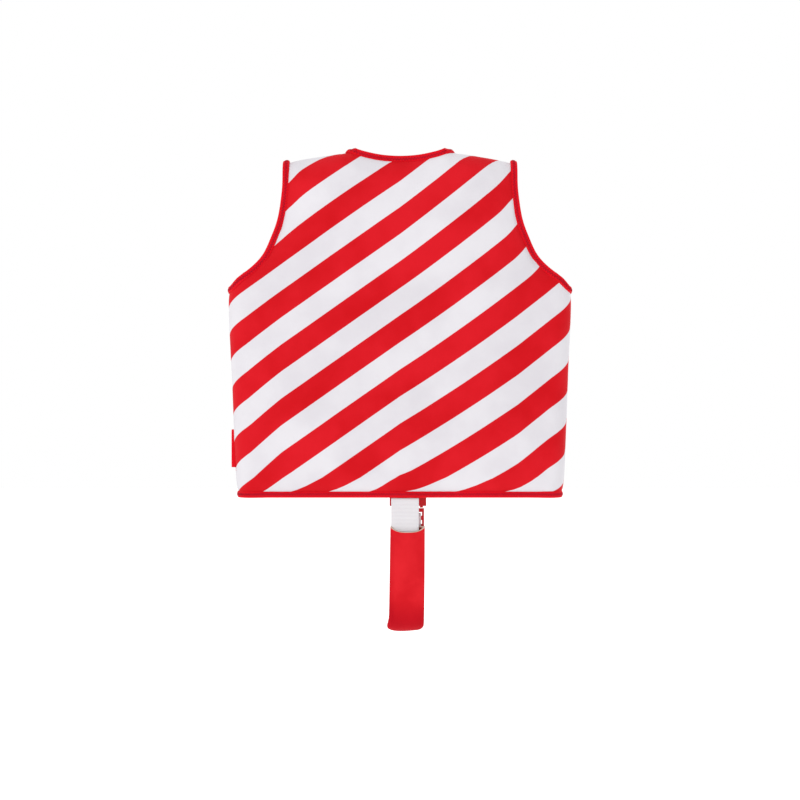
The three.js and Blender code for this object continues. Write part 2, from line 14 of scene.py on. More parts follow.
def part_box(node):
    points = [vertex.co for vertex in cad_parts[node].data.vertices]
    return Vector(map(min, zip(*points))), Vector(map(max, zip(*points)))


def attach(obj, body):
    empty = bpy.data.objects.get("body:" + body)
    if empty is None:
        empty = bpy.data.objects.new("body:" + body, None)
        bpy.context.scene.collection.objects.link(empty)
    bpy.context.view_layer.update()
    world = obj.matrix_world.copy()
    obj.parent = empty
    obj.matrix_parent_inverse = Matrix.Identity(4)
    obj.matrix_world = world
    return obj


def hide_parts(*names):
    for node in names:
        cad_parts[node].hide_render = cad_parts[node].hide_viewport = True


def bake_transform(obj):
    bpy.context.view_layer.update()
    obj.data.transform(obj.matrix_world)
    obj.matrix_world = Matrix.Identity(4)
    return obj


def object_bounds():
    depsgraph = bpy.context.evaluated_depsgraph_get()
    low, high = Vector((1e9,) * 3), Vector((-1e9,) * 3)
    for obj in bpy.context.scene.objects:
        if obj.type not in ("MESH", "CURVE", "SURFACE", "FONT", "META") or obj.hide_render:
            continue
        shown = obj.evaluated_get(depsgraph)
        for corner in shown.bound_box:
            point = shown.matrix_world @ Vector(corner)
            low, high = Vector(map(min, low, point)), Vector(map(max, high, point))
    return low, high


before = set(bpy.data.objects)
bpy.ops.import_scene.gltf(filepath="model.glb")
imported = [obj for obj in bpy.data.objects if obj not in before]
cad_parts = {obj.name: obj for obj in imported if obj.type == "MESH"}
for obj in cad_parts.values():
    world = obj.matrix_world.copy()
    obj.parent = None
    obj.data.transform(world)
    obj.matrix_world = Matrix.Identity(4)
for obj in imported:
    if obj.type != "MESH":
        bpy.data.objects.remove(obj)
working_box = [list(corner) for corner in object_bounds()]
print("working model, lowest and highest corner:", working_box)

# %% [markdown]
# The camera stands behind the wearer at mid height and looks straight at the vest's back. A
# long lens keeps the outline flat, with hardly any perspective.

# %% Camera
MM = 0.001
LENS = 85.0
SENSOR = 36.0
VIEW_WIDTH = 730 * MM
VIEW_HEIGHT_Z = -224.5 * MM
BACK_FACE = 20 * MM                        # how far the vest's back lies behind its middle

camera = bpy.data.objects.new("camera", bpy.data.cameras.new("camera"))
bpy.context.collection.objects.link(camera)
camera.data.lens = LENS
camera.data.sensor_width = SENSOR
camera.location = (0, VIEW_WIDTH * LENS / SENSOR + BACK_FACE, VIEW_HEIGHT_Z)
camera.rotation_euler = (math.radians(90), 0, math.radians(180))
bpy.context.scene.camera = camera
print("camera stands", round(camera.location.y, 3), "m away")

# %% [markdown]
# Soft light comes from a white world. That alone would look flat, so a broad lamp on the upper
# left of the view models the round forms, and a twin on the far side does it for the front.

# %% Light
LAMP_POWER = 13
LAMP_SIZE = 0.7

world = bpy.data.worlds.new("white studio")
bpy.context.scene.world = world
world.use_nodes = True
world.node_tree.nodes["Background"].inputs["Color"].default_value = (1, 1, 1, 1)
world.node_tree.nodes["Background"].inputs["Strength"].default_value = 1.0
bpy.context.scene.view_settings.view_transform = "Standard"


def lamp(name, place):
    """A broad soft lamp, turned towards the middle of the vest."""
    light = bpy.data.lights.new(name, "AREA")
    light.energy = LAMP_POWER
    light.size = LAMP_SIZE
    lamp_object = bpy.data.objects.new(name, light)
    bpy.context.collection.objects.link(lamp_object)
    lamp_object.location = place
    aim = Vector((0, 0, VIEW_HEIGHT_Z)) - Vector(place)
    lamp_object.rotation_euler = aim.to_track_quat("-Z", "Y").to_euler()


lamp("key", (1.1, 1.5, 1.2))
lamp("front", (-1.1, -1.6, 1.0))
print("lamps:", [light.name for light in bpy.data.lights])

# %% [markdown]
# The vest hangs free, and the floor is one pale plane some way below the strap. A little light
# of its own keeps it near white, so that only a faint shadow shows. It belongs to the stage and
# not to the vest.

# %% Floor
FLOOR_Z = working_box[0][2] - 150 * MM
FLOOR_REACH = 6

floor_shape = bmesh.new()
bmesh.ops.create_grid(floor_shape, x_segments=1, y_segments=1, size=FLOOR_REACH)
bmesh.ops.translate(floor_shape, verts=floor_shape.verts, vec=(0, 0, FLOOR_Z))
floor_mesh = bpy.data.meshes.new("floor")
floor_shape.to_mesh(floor_mesh)
floor_shape.free()
floor = bpy.data.objects.new("floor", floor_mesh)
bpy.context.collection.objects.link(floor)
floor_finish = bpy.data.materials.new("floor")
floor_finish.use_nodes = True
floor_surface = floor_finish.node_tree.nodes["Principled BSDF"]
floor_surface.inputs["Base Color"].default_value = (0.9, 0.9, 0.9, 1)
floor_surface.inputs["Emission Color"].default_value = (1, 1, 1, 1)
floor_surface.inputs["Emission Strength"].default_value = 0.4
floor_mesh.materials.append(floor_finish)
print("floor at z", round(FLOOR_Z, 3))

# %% [markdown]
# Finishes are small node graphs. Writing them as sums keeps them short, so one class wraps a
# socket and turns Python's operators into Math nodes. Colours go through Mix, because a Math
# node would turn them grey.

# %% Shader sums
class Shade:
    """A socket of a material, which adds Math nodes when it is used in a sum."""

    def __init__(self, finish, socket):
        self.finish = finish
        self.socket = socket

    def _math(self, operation, *values):
        return self.finish.node("ShaderNodeMath", {"operation": operation}, *values)

    def __add__(self, other):
        return self._math("ADD", self, other)

    def __sub__(self, other):
        return self._math("SUBTRACT", self, other)

    def __mul__(self, other):
        return self._math("MULTIPLY", self, other)

    def __truediv__(self, other):
        return self._math("DIVIDE", self, other)

    def __rsub__(self, other):
        return self._math("SUBTRACT", other, self)

    __radd__ = __add__
    __rmul__ = __mul__

    def fraction(self):
        return self._math("FRACT", self)

    def size(self):
        return self._math("ABSOLUTE", self)

    def sine(self):
        return self._math("SINE", self)

    def at_least(self, low):
        return self._math("MAXIMUM", self, low)


print("a socket's own words:", [word for word in vars(Shade) if not word.startswith("_")])

# %% [markdown]
# A finish is one material under construction. Every node comes from one method, which takes the
# node's type, its settings and what its sockets hold or are linked to. The other methods only
# give the few nodes that this vest needs a plain name.

# %% Finish
class Finish:
    """A material under construction, with a few plain words for its nodes."""

    def __init__(self, name, roughness, **fixed):
        self.material = bpy.data.materials.new(name)
        self.material.use_nodes = True
        self.tree = self.material.node_tree
        self.surface = self.tree.nodes["Principled BSDF"]
        self.surface.inputs["Roughness"].default_value = roughness
        for socket, value in fixed.items():
            self.surface.inputs[socket.replace("_", " ")].default_value = value

    def node(self, kind, settings, *values, output=0, **named):
        """Adds a node; values fill its sockets in order, and None leaves one as it is."""
        made = self.tree.nodes.new(kind)
        for setting, value in settings.items():
            setattr(made, setting, value)
        for socket, value in [*enumerate(values), *named.items()]:
            if isinstance(socket, str):
                socket = socket.replace("_", " ")
            if isinstance(value, Shade):
                self.tree.links.new(value.socket, made.inputs[socket])
            elif value is not None:
                made.inputs[socket].default_value = value
        return Shade(self, made.outputs[output])

    def place(self):
        return self.node("ShaderNodeTexCoord", {}, output="Object")

    def stored(self, name):
        return self.node("ShaderNodeAttribute", {"attribute_name": name}, output="Vector")

    def axes(self, vector):
        split = self.node("ShaderNodeSeparateXYZ", {}, vector).socket.node
        return [Shade(self, socket) for socket in split.outputs]

    def noise(self, where, scale, detail=2.0):
        return self.node("ShaderNodeTexNoise", {}, Vector=where, Scale=scale, Detail=detail)

    def between(self, value, low, high):
        """0 below low, 1 above high, and smooth between them."""
        return self.node("ShaderNodeMapRange", {"interpolation_type": "SMOOTHSTEP"},
                         value, low, high)

    def blend(self, share, colour_a, colour_b):
        """Mix holds sockets for numbers and vectors too; its two colours come after those."""
        others = [None] * 5
        return self.node("ShaderNodeMix", {"data_type": "RGBA"}, share, *others, colour_a,
                         colour_b, output=2)

    def feed(self, socket, value):
        self.tree.links.new(value.socket, self.surface.inputs[socket])

    def relief(self, height, strength, distance):
        bump = self.node("ShaderNodeBump", {}, Strength=strength, Distance=distance,
                         Height=height, output="Normal")
        self.feed("Normal", bump)


print("a finish's own words:", [word for word in vars(Finish) if not word.startswith("_")])

# %% [markdown]
# Colours are given as they look on a screen, from 0 to 255. The world and the lamps together
# give more light than a white surface can show, so every colour is toned down by one factor.

# %% Colours
PAINT = 0.68


def colour(red, green, blue):
    """A colour as seen on a screen in this light, turned into the renderer's linear values."""
    linear = [((c / 255 + 0.055) / 1.055) ** 2.4 * PAINT for c in (red, green, blue)]
    return (*linear, 1)


print("white in this light:", [round(c, 2) for c in colour(255, 255, 255)])

# %% [markdown]
# The vest is one flattened tube. A place on it is easiest to give the way a tailor would: how
# far across from the middle, how high, and how deep in the padding. One function then wraps
# that flat pattern round the sides and over the shoulders, and everything sewn to the vest
# goes through it. The neck and hem bindings of the frame give its height and width.

# %% Sizes of the vest
neck_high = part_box("neck_binding_back")[1]
hem_low, hem_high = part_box("hem_binding_back_right")
shoulder_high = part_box("shoulder_left")[1]
lining_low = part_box("back_lining")[0]

NECK_PEAK = neck_high.z
NECK_HALF = neck_high.x
HEM = hem_low.z
BINDING = hem_high.z - hem_low.z
SHOULDER_HALF = shoulder_high.x + 0.5 * MM
TORSO = lining_low.y                       # half the room left for the body
EDGE = shoulder_high.y                     # outside of the padding at its bound edges
SHOULDER_FALL = 11 * MM                    # from the neck's peak out to the armhole
NECK_DIP = 6.2 * MM                        # of the back neck, at its middle
NECK_STEEPNESS = 1.5
ARMPIT = NECK_PEAK - 126.5 * MM
SIDE = 16 * MM                             # radius of the rounded sides
CHEST_AXIS = 159.2 * MM - SIDE             # where the sides start to turn, at the armpit
HEM_AXIS = 150.4 * MM - SIDE               # and at the hem
SIDE_ARC = SIDE * math.pi / 2
ROLL_ARC = EDGE * math.pi                  # over the shoulder, from back to front
CROWN = 6.5 * MM                           # swell of the foam in the middle of a panel
ZIP_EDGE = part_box("zip_tape_left")[1].x + 0.3 * MM
TUCK = 1 * MM                              # padding reaches this far into its binding
print("neck to hem", round(NECK_PEAK - HEM, 4), "m; zip edge", round(ZIP_EDGE, 4))

# %% [markdown]
# The wrapping itself has three stretches: flat in the middle, turned about the shoulder's fold
# above, and turned about the side's axis outside. That axis stands nearer in at the hem than at
# the armpit, which gives the vest its taper.

# %% Wrapping the pattern
def mix(a, b, share):
    return a + (b - a) * share


def ease(share):
    """Goes from 0 to 1 with a soft start and a soft end."""
    share = min(1, max(0, share))
    return share * share * (3 - 2 * share)


def shoulder_line(across):
    """Height of the shoulder's top, and above the neck a height that is never reached."""
    beyond = abs(across) - NECK_HALF
    slope = SHOULDER_FALL / (SHOULDER_HALF - NECK_HALF)
    return NECK_PEAK - slope * beyond + max(0, -beyond) * NECK_STEEPNESS


def on_vest(across, depth, z, face):
    """The place of a point of the flat pattern; face is 1 on the back and -1 on the front."""
    side = -1 if across < 0 else 1
    reach = abs(across)
    fold = shoulder_line(across) - EDGE
    if face > 0 and z > fold and reach < CHEST_AXIS:
        turn = (z - fold) / EDGE
        return Vector((across, depth * math.cos(turn), fold + depth * math.sin(turn)))
    axis = mix(HEM_AXIS, CHEST_AXIS, (z - HEM) / (ARMPIT - HEM))
    if reach <= CHEST_AXIS:
        stretch = max(0, reach - SHOULDER_HALF) / (CHEST_AXIS - SHOULDER_HALF)
        x = min(reach, SHOULDER_HALF) + stretch * (axis - SHOULDER_HALF)
        return Vector((side * x, face * depth, z))
    turn = (reach - CHEST_AXIS) / SIDE
    return Vector((side * (axis + depth * math.sin(turn)), face * depth * math.cos(turn), z))


seam_at_armpit = on_vest(CHEST_AXIS + SIDE_ARC, SIDE, ARMPIT, 1)
print("side seam at the armpit:", [round(value, 4) for value in seam_at_armpit])

# %% [markdown]
# The pattern's edges are smooth curves through a few chosen points. Blender has curve objects of
# its own, but a small class measures along the length and steps sideways from it, so that
# stitches and mesh rows come out evenly spaced.

# %% Curves
class Curve:
    """A smooth curve through points (across, z), read by its share of the length."""

    def __init__(self, points, smooth=True):
        points = [Vector(p) for p in points]
        if smooth:
            points = self._rounded(points)
        self.points = points
        self.lengths = [0]
        for a, b in zip(points, points[1:]):
            self.lengths.append(self.lengths[-1] + (b - a).length)
        self.length = self.lengths[-1]

    @staticmethod
    def _rounded(points, steps=12):
        ends = [2 * points[0] - points[1], *points, 2 * points[-1] - points[-2]]
        path = []
        for a, b, c, d in zip(ends, ends[1:], ends[2:], ends[3:]):
            for step in range(steps):
                t = step / steps
                path.append(0.5 * (2 * b + (c - a) * t + (2 * a - 5 * b + 4 * c - d) * t ** 2
                                   + (3 * b - a - 3 * c + d) * t ** 3))
        return [*path, points[-1]]

    def at(self, share):
        wanted = min(1, max(0, share)) * self.length
        for a, b, start, end in zip(self.points, self.points[1:], self.lengths,
                                    self.lengths[1:]):
            if wanted <= end:
                return a.lerp(b, (wanted - start) / max(end - start, 1e-9))
        return self.points[-1].copy()

    def beside(self, share, distance):
        """A point to the left of the curve's direction by that distance."""
        along = (self.at(share + 0.01) - self.at(share - 0.01)).normalized()
        return self.at(share) + distance * Vector((-along.y, along.x))


print("a straight metre measures", Curve([(0, 0), (1, 0)]).length)

# %% [markdown]
# Two edges are cut for each half of the vest, the armhole and the neck, and the hem is straight.
# The armhole runs down from the shoulder and turns out under the arm to the side seam. On the
# back both edges reach beyond the shoulder's fold, because its cloth rolls over to the front.

# %% Pattern edges
def slope_z(share):
    """Height at a share of the way from the shoulder down to the armpit."""
    return mix(NECK_PEAK - SHOULDER_FALL, ARMPIT, share)


fold_out = NECK_PEAK - SHOULDER_FALL - EDGE
fold_in = NECK_PEAK - EDGE
armhole_points = [
    (SHOULDER_HALF + 0.6 * MM, slope_z(0.24)), (SHOULDER_HALF + 4 * MM, slope_z(0.45)),
    (SHOULDER_HALF + 10 * MM, slope_z(0.605)), (SHOULDER_HALF + 17.6 * MM, slope_z(0.745)),
    (SHOULDER_HALF + 28.7 * MM, slope_z(0.85)), (CHEST_AXIS + 6.5 * MM, slope_z(0.93)),
    (CHEST_AXIS + 0.62 * SIDE_ARC, slope_z(0.985)), (CHEST_AXIS + SIDE_ARC, ARMPIT)]
back_armhole = Curve([(SHOULDER_HALF, fold_out + ROLL_ARC),
                      (SHOULDER_HALF, fold_out + ROLL_ARC / 2),
                      (SHOULDER_HALF, fold_out), *armhole_points])
front_armhole = Curve([(SHOULDER_HALF, fold_out), *armhole_points])
neck_points = [(0, NECK_PEAK - NECK_DIP), (16 * MM, NECK_PEAK - 0.84 * NECK_DIP),
               (30 * MM, NECK_PEAK - 0.4 * NECK_DIP), (NECK_HALF - 5 * MM, NECK_PEAK + 0.5 * MM),
               (NECK_HALF - 0.5 * MM, fold_in + ROLL_ARC / 2),
               (NECK_HALF + 1 * MM, fold_in + ROLL_ARC)]
back_neck = Curve(neck_points)
whole_back_neck = Curve([*[(-x, z) for x, z in reversed(neck_points[1:])], *neck_points])
FRONT_NECK_DROP = NECK_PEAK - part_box("neck_binding_front_left")[0].z - BINDING
front_neck = Curve([(NECK_HALF + 1 * MM, fold_in),
                    (NECK_HALF - 1 * MM, NECK_PEAK - 0.42 * FRONT_NECK_DROP),
                    (NECK_HALF - 10 * MM, NECK_PEAK - 0.78 * FRONT_NECK_DROP),
                    (ZIP_EDGE, NECK_PEAK - FRONT_NECK_DROP)])
hem_line = Curve([(0, HEM), (CHEST_AXIS + SIDE_ARC, HEM)], smooth=False)
whole_hem = Curve([(-CHEST_AXIS - SIDE_ARC, HEM), (CHEST_AXIS + SIDE_ARC, HEM)], smooth=False)
print("armhole edge, back and front:", round(back_armhole.length, 3), round(front_armhole.length, 3))

# %% [markdown]
# Each padded panel is one closed form: an outer face over the foam and an inner face, the
# lining. It could be modelled by hand from a box, but a flat grid with one extrusion keeps
# the pattern's coordinates, which the printed bands need. Rows run from the hem up to the
# bound edge, and the foam rounds off towards every edge, because foam stops short of it.

# %% Outline of a panel
INSET = BINDING - TUCK
SEAM_ALLOWANCE = 0.9 * MM                  # smoothing draws the edges in by about this much
NECK_STEPS = 14
RIM_STEPS = 12
ARM_STEPS = 30


def outline(face):
    """Edge of the padding from the middle out to the side seam, as a row of points."""
    armhole = back_armhole if face > 0 else front_armhole
    neck = back_neck if face > 0 else front_neck
    inward = -INSET if face > 0 else INSET
    neck_row = [neck.beside(i / NECK_STEPS, inward) for i in range(NECK_STEPS + 1)]
    if face < 0:
        neck_row.reverse()
        neck_row[0].x = ZIP_EDGE
    arm_row = [armhole.beside(i / ARM_STEPS, -INSET) for i in range(ARM_STEPS + 1)]
    top_in, top_out = neck_row[-1], arm_row[0]
    arm_row[-1].x = CHEST_AXIS + SIDE_ARC + SEAM_ALLOWANCE
    top_in.y += SEAM_ALLOWANCE
    top_out.y += SEAM_ALLOWANCE
    rim = [top_in.lerp(top_out, i / RIM_STEPS) for i in range(1, RIM_STEPS)]
    return [*neck_row, *rim, *arm_row]


print("points along the edge, back and front:", len(outline(1)), len(outline(-1)))

# %% [markdown]
# How thick the padding stands depends on how near a point is to the edge of its panel. The foam
# stops short of the binding, so the cover lies flat under it and rises in a quarter round just
# beyond it. Under the arm the edge stands further out, where it turns with the side.

# %% Thickness of the padding
BIND_WIDTH = BINDING + 1.3 * MM
EDGE_ROUND = 17 * MM                       # radius of the foam's rounded edge
BROAD_SWELL = 65 * MM                      # the middle's slow swell is full this far in
SIDE_FADE = 75 * MM                        # and dies away over this width towards the side
ZIP_RISE = 40 * MM                         # the front halves rise from the zip over this width


def nearest(edge, point):
    """The closest point of an edge."""
    best, found = 1.0, point
    for a, b in zip(edge, edge[1:]):
        along = b - a
        share = min(1, max(0, (point - a).dot(along) / max(along.length_squared, 1e-12)))
        place = a + along * share
        if (place - point).length < best:
            best, found = (place - point).length, place
    return found


def distance_to(edge, point):
    return (nearest(edge, point) - point).length


def rounding(distance, width):
    """Height of a quarter round at a distance from its foot, from 0 to 1."""
    share = min(1, distance / width)
    return math.sqrt(max(0, 1 - (1 - share) ** 2))


def edge_depths(across):
    """Inside and outside of the bound edge, which stands further out where it turns the side."""
    out = ease((abs(across) - CHEST_AXIS + 22 * MM) / (30 * MM))
    return mix(TORSO, SIDE - 6.5 * MM, out), mix(EDGE, SIDE - 1.5 * MM, out)


def fullness(point, face, edge):
    """Outer depth of the padding at a point of the pattern."""
    bottom = HEM + INSET
    top_distance = distance_to(edge, point)
    fold = shoulder_line(point.x) - EDGE
    if face > 0 and point.y > fold - 20 * MM and abs(point.x) < SHOULDER_HALF:
        top_distance = min(top_distance, max(0, fold + 6 * MM - point.y))
    near = min(top_distance, point.y - bottom)
    if face < 0:
        near = min(near, abs(point.x) - ZIP_EDGE + 1 * MM)
    near = max(0, near - BIND_WIDTH + INSET)
    side_share = ease((CHEST_AXIS + SIDE_ARC - abs(point.x)) / SIDE_FADE)
    broad = math.sin(math.pi / 2 * min(1, near / BROAD_SWELL))
    rim = edge_depths(point.x)[1]
    full = (SIDE - rim) * rounding(near, EDGE_ROUND) + CROWN * broad * side_share
    from_zip = 1 if face > 0 else ease((abs(point.x) - ZIP_EDGE) / ZIP_RISE)
    return rim + full * from_zip


chest = Vector((60 * MM, (HEM + ARMPIT) / 2))
print("padding beside the middle of the back:", round(fullness(chest, 1, outline(1)) / MM, 1),
      "mm from the middle plane")

# %% [markdown]
# A sewn cover is never quite even: it has broad shallow dents, fine puckers along its bindings,
# and it is drawn in where the strap is sewn to the hem. These could be sculpted by hand. Smooth
# noise and a short wave along the edge give them the same way in every run.

# %% Creases
DENT = 0.8 * MM
RIPPLE = 0.25 * MM
PUCKER = 0.3 * MM
PUCKER_LENGTH = 2.4 * MM
PUCKER_FADE = 7 * MM
STRAP_DRAW = 2.2 * MM


def creases(point, near):
    """Soft unevenness of the cover: broad dents, and puckers that fade away from an edge."""
    broad = noise.noise(Vector((point.x * 14, point.y * 14, 3.1))) * DENT
    small = noise.noise(Vector((point.x * 45, point.y * 45, 7.7))) * RIPPLE
    wander = noise.noise(Vector((point.x * 30, point.y * 30, 1.3))) * 4
    pucker = math.sin((point.x + point.y) / PUCKER_LENGTH + wander) * math.exp(-near / PUCKER_FADE)
    return broad + small + PUCKER * pucker - STRAP_DRAW * strap_pull(point)


def strap_pull(point):
    """1 where the strap is sewn into the hem, fading away from it; the cover is drawn in."""
    across, above = (point.x + 3 * MM) / (15 * MM), (point.y - HEM - 9 * MM) / (11 * MM)
    return math.exp(-across * across - above * above)


print("crease at the chest:", round(creases(chest, 1) / MM, 2), "mm")

# %% [markdown]
# Cloth is printed flat and then sewn over foam. Near an edge it runs down round the foam, so
# more of the print is used up there than a straight look from outside would show. Every point
# of a panel therefore stores its own place on the flat cloth.

# %% Flat cloth
HEM_ROLL = 21 * MM                         # the cloth rounds the foam over this height
HEM_USED = 11 * MM                         # and uses up this much of the print at the hem
STRAP_USED = 5 * MM
SIDE_ROLL = 19 * MM
SIDE_USED = 5.5 * MM


def rolled(point, edge):
    """Where the print lies: the cloth rounds the foam, so more of it is used near an edge."""
    uneven = 0.75 + 0.9 * noise.noise(Vector((point.x * 16, point.y * 16, 0.4)))
    to_hem = max(0, 1 - (point.y - HEM) / HEM_ROLL)
    used = HEM_USED * to_hem * to_hem * uneven + STRAP_USED * strap_pull(point)
    place = point - Vector((0, used))
    outward = nearest(edge, point) - point
    share = max(0, 1 - outward.length / SIDE_ROLL)
    fade = ease((CHEST_AXIS + 12 * MM - point.x) / (30 * MM))
    if outward.x > 0.1 * MM:
        place.x += SIDE_USED * share * share * fade * outward.x / outward.length
    return place


def pattern_place(point, face):
    """Unrolled place for the printed bands, which run on round the sides to the front."""
    if face > 0:
        return Vector((point.x, point.y, 0))
    side = 1 if point.x > 0 else -1
    round_the_side = 2 * (CHEST_AXIS + SIDE_ARC) - abs(point.x)
    return Vector((side * round_the_side, point.y, 0))


print("the chest's place on the flat cloth:", [round(v, 4) for v in rolled(chest, outline(1))])

# %% [markdown]
# Every piece ends the same way: its shape becomes a mesh with its normals facing out, gets its
# finishes, and rides on the body that carries it, if it is given one. Its object stays at the origin.

# %% New pieces
def facets(piece, smooth):
    for polygon in piece.data.polygons:
        polygon.use_smooth = smooth


def new_piece(name, shape, finishes, body):
    """Turns a bmesh into a finished piece; without a body, it isn't attached here."""
    bmesh.ops.recalc_face_normals(shape, faces=shape.faces)
    mesh = bpy.data.meshes.new(name)
    shape.to_mesh(mesh)
    shape.free()
    for finish in finishes:
        mesh.materials.append(finish)
    piece = bpy.data.objects.new(name, mesh)
    facets(piece, True)
    bpy.context.collection.objects.link(piece)
    if body:
        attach(piece, body)
    return piece


# %% [markdown]
# Rows run from the hem up to the bound edge, and columns from the middle out to the seam. The
# edge's points aren't evenly spaced, and a straight grid would crowd in places and kink the
# bands. So the inner points are averaged with their neighbours many times, like a net pulled
# tight in its frame.

# %% Pattern grid
ROWS = 44
EVENING_PASSES = 60


def pattern_grid(edge, face):
    """Points of half a panel by column and row, evened out inside its fixed edges."""
    seam = CHEST_AXIS + SIDE_ARC + SEAM_ALLOWANCE
    first = 0 if face > 0 else ZIP_EDGE
    half = len(edge) - 1
    grid = []
    for i, top in enumerate(edge):
        low = Vector((mix(first, seam, i / half), HEM + INSET))
        grid.append([low.lerp(top, j / ROWS) for j in range(ROWS + 1)])
    for _ in range(EVENING_PASSES):
        last = grid
        grid = [column[:] for column in last]
        for i in range(0 if face > 0 else 1, half):
            for j in range(1, ROWS):
                inner = last[i - 1][j] if i else Vector((-last[1][j].x, last[1][j].y))
                grid[i][j] = (inner + last[i + 1][j] + last[i][j - 1] + last[i][j + 1]) / 4
    return grid


print("grid of half the back:", len(pattern_grid(outline(1), 1)), "columns of", ROWS + 1)

# %% [markdown]
# Now the panels themselves. A flat grid is extruded once, which gives two faces and a wall
# between them. Each point is then carried to its place: the lower face becomes the lining, and
# the upper one the cover, at its own depth.

# %% Padded panels
def panel(name, face, side):
    """side is 1 or -1 for half a panel, and 0 for the whole back."""
    edge = outline(face)
    half = len(edge) - 1
    columns = 2 * half if side == 0 else half
    grid = pattern_grid(edge, face)
    facts = [[(p, fullness(p, face, edge), min(distance_to(edge, p), p.y - HEM - INSET),
               rolled(p, edge)) for p in column] for column in grid]
    shape = bmesh.new()
    bmesh.ops.create_grid(shape, x_segments=columns, y_segments=ROWS, size=0.5)
    flat = shape.verts.layers.float_vector.new("flat")
    lifted = bmesh.ops.extrude_face_region(shape, geom=shape.faces[:])["geom"]
    outer = {v for v in lifted if isinstance(v, bmesh.types.BMVert)}
    for vert in shape.verts:
        column = round((vert.co.x + 0.5) * columns) - (half if side == 0 else 0)
        point, depth, near, print_at = facts[abs(column)][round((vert.co.y + 0.5) * ROWS)]
        sign = side if side else (-1 if column < 0 else 1)
        across = Vector((sign * point.x, point.y))
        if vert in outer:
            depth += creases(across + Vector((0, face * 0.2)), near) * min(1, near / (6 * MM))
        else:
            depth = edge_depths(point.x)[0]
        vert[flat] = pattern_place(Vector((sign * print_at.x, print_at.y)), face)
        vert.co = on_vest(across.x, depth, across.y, face)
    for f in shape.faces:
        f.material_index = 0 if any(v in outer for v in f.verts) else 1
    return new_piece(name, shape, (), None)


back_panel = panel("back_panel", 1, 0)
front_right_panel = panel("front_right_panel", -1, -1)
front_left_panel = panel("front_left_panel", -1, 1)
panels = (back_panel, front_right_panel, front_left_panel)
print("points of the padded panels:", [len(piece.data.vertices) for piece in panels])

# %% [markdown]
# The foam presses the cover out evenly. That could be drawn by hand, but a short cloth
# simulation with pressure finds it: the bound edges and the lining are pinned, and no point may
# move far. Only the swell straight out is kept, because a shift along the cloth would bend the
# printed bands. It runs on the coarse mesh, and one subdivision afterwards makes it smooth.

# %% Cloth
CLOTH_FRAMES = 16
PRESSURE = 4
STIFFNESS = 25
CLOTH_QUALITY = 6                          # solver steps for each frame
SWELL_LIMIT = 4 * MM
SWELL_PASSES = 4


def evened(values, neighbours, held, passes):
    """Averages a number per point with its neighbours', again and again."""
    for _ in range(passes):
        values = [0 if i in held else (value + sum(values[j] for j in near)) / (len(near) + 1)
                  for i, (value, near) in enumerate(zip(values, neighbours))]
    return values


def press_out(piece):
    """Lets pressure swell the cover, straight out from the pattern, and evens the result."""
    mesh = piece.data
    lining = {i for f in mesh.polygons if f.material_index == 1 for i in f.vertices}
    walls = [f.vertices for f in mesh.polygons
             if f.material_index == 0 and lining.intersection(f.vertices)]
    held = lining.union(*walls)
    group = piece.vertex_groups.new(name="sewn")
    group.add(sorted(held), 1.0, "REPLACE")
    cloth = piece.modifiers.new("cloth", "CLOTH")
    cloth.settings.vertex_group_mass = "sewn"
    cloth.settings.use_pressure = True
    cloth.settings.uniform_pressure_force = PRESSURE
    cloth.settings.quality = CLOTH_QUALITY
    cloth.settings.tension_stiffness = STIFFNESS
    cloth.settings.compression_stiffness = STIFFNESS
    cloth.settings.effector_weights.gravity = 0
    cloth.collision_settings.use_collision = False
    for step in range(1, CLOTH_FRAMES + 1):
        bpy.context.scene.frame_set(step)
    evaluated = piece.evaluated_get(bpy.context.evaluated_depsgraph_get())
    moved = [v.co.copy() for v in evaluated.data.vertices]
    piece.modifiers.remove(cloth)
    piece.vertex_groups.remove(group)
    bpy.context.scene.frame_set(1)
    normals = [v.normal.copy() for v in mesh.vertices]
    swell = [(after - v.co).dot(normal) for v, after, normal in zip(mesh.vertices, moved, normals)]
    print(piece.name, "cloth moved at most", round(max(swell) / MM, 1), "mm, kept to",
          SWELL_LIMIT / MM)
    swell = [min(SWELL_LIMIT, max(-SWELL_LIMIT, value)) for value in swell]
    neighbours = [[] for _ in mesh.vertices]
    for edge in mesh.edges:
        neighbours[edge.vertices[0]].append(edge.vertices[1])
        neighbours[edge.vertices[1]].append(edge.vertices[0])
    swell = evened(swell, neighbours, held, SWELL_PASSES)
    for vertex, normal, value in zip(mesh.vertices, normals, swell):
        vertex.co += normal * value


def smoothed(piece):
    modifier = piece.modifiers.new("smooth cover", "SUBSURF")
    modifier.levels = 1
    modifier.render_levels = 1


print("cloth steps:", CLOTH_FRAMES)

# %% [markdown]
# The finishes come next. The cover is a fine knit, glued to foam, with bands printed on it.
# The bands follow the pattern, not the space around it, so they are worked out from the stored
# flat coordinates. On the wearer's right half they fan out a little towards the top.

# %% Printed knit
BAND_PITCH = 49.2 * MM                     # height of one red and one white band together
BAND_SLOPE = 0.70                          # how steeply the bands fall towards the left side
BAND_START = -49 * MM
BAND_FAN = 0.82
BAND_FAN_HEIGHT = -130 * MM                # the bands of the right half turn about this height
BAND_SOFTNESS = 0.007                      # half the width of a band's edge, per pitch
RIB_PITCH = 1.1 * MM
ROW_PITCH = 0.9 * MM


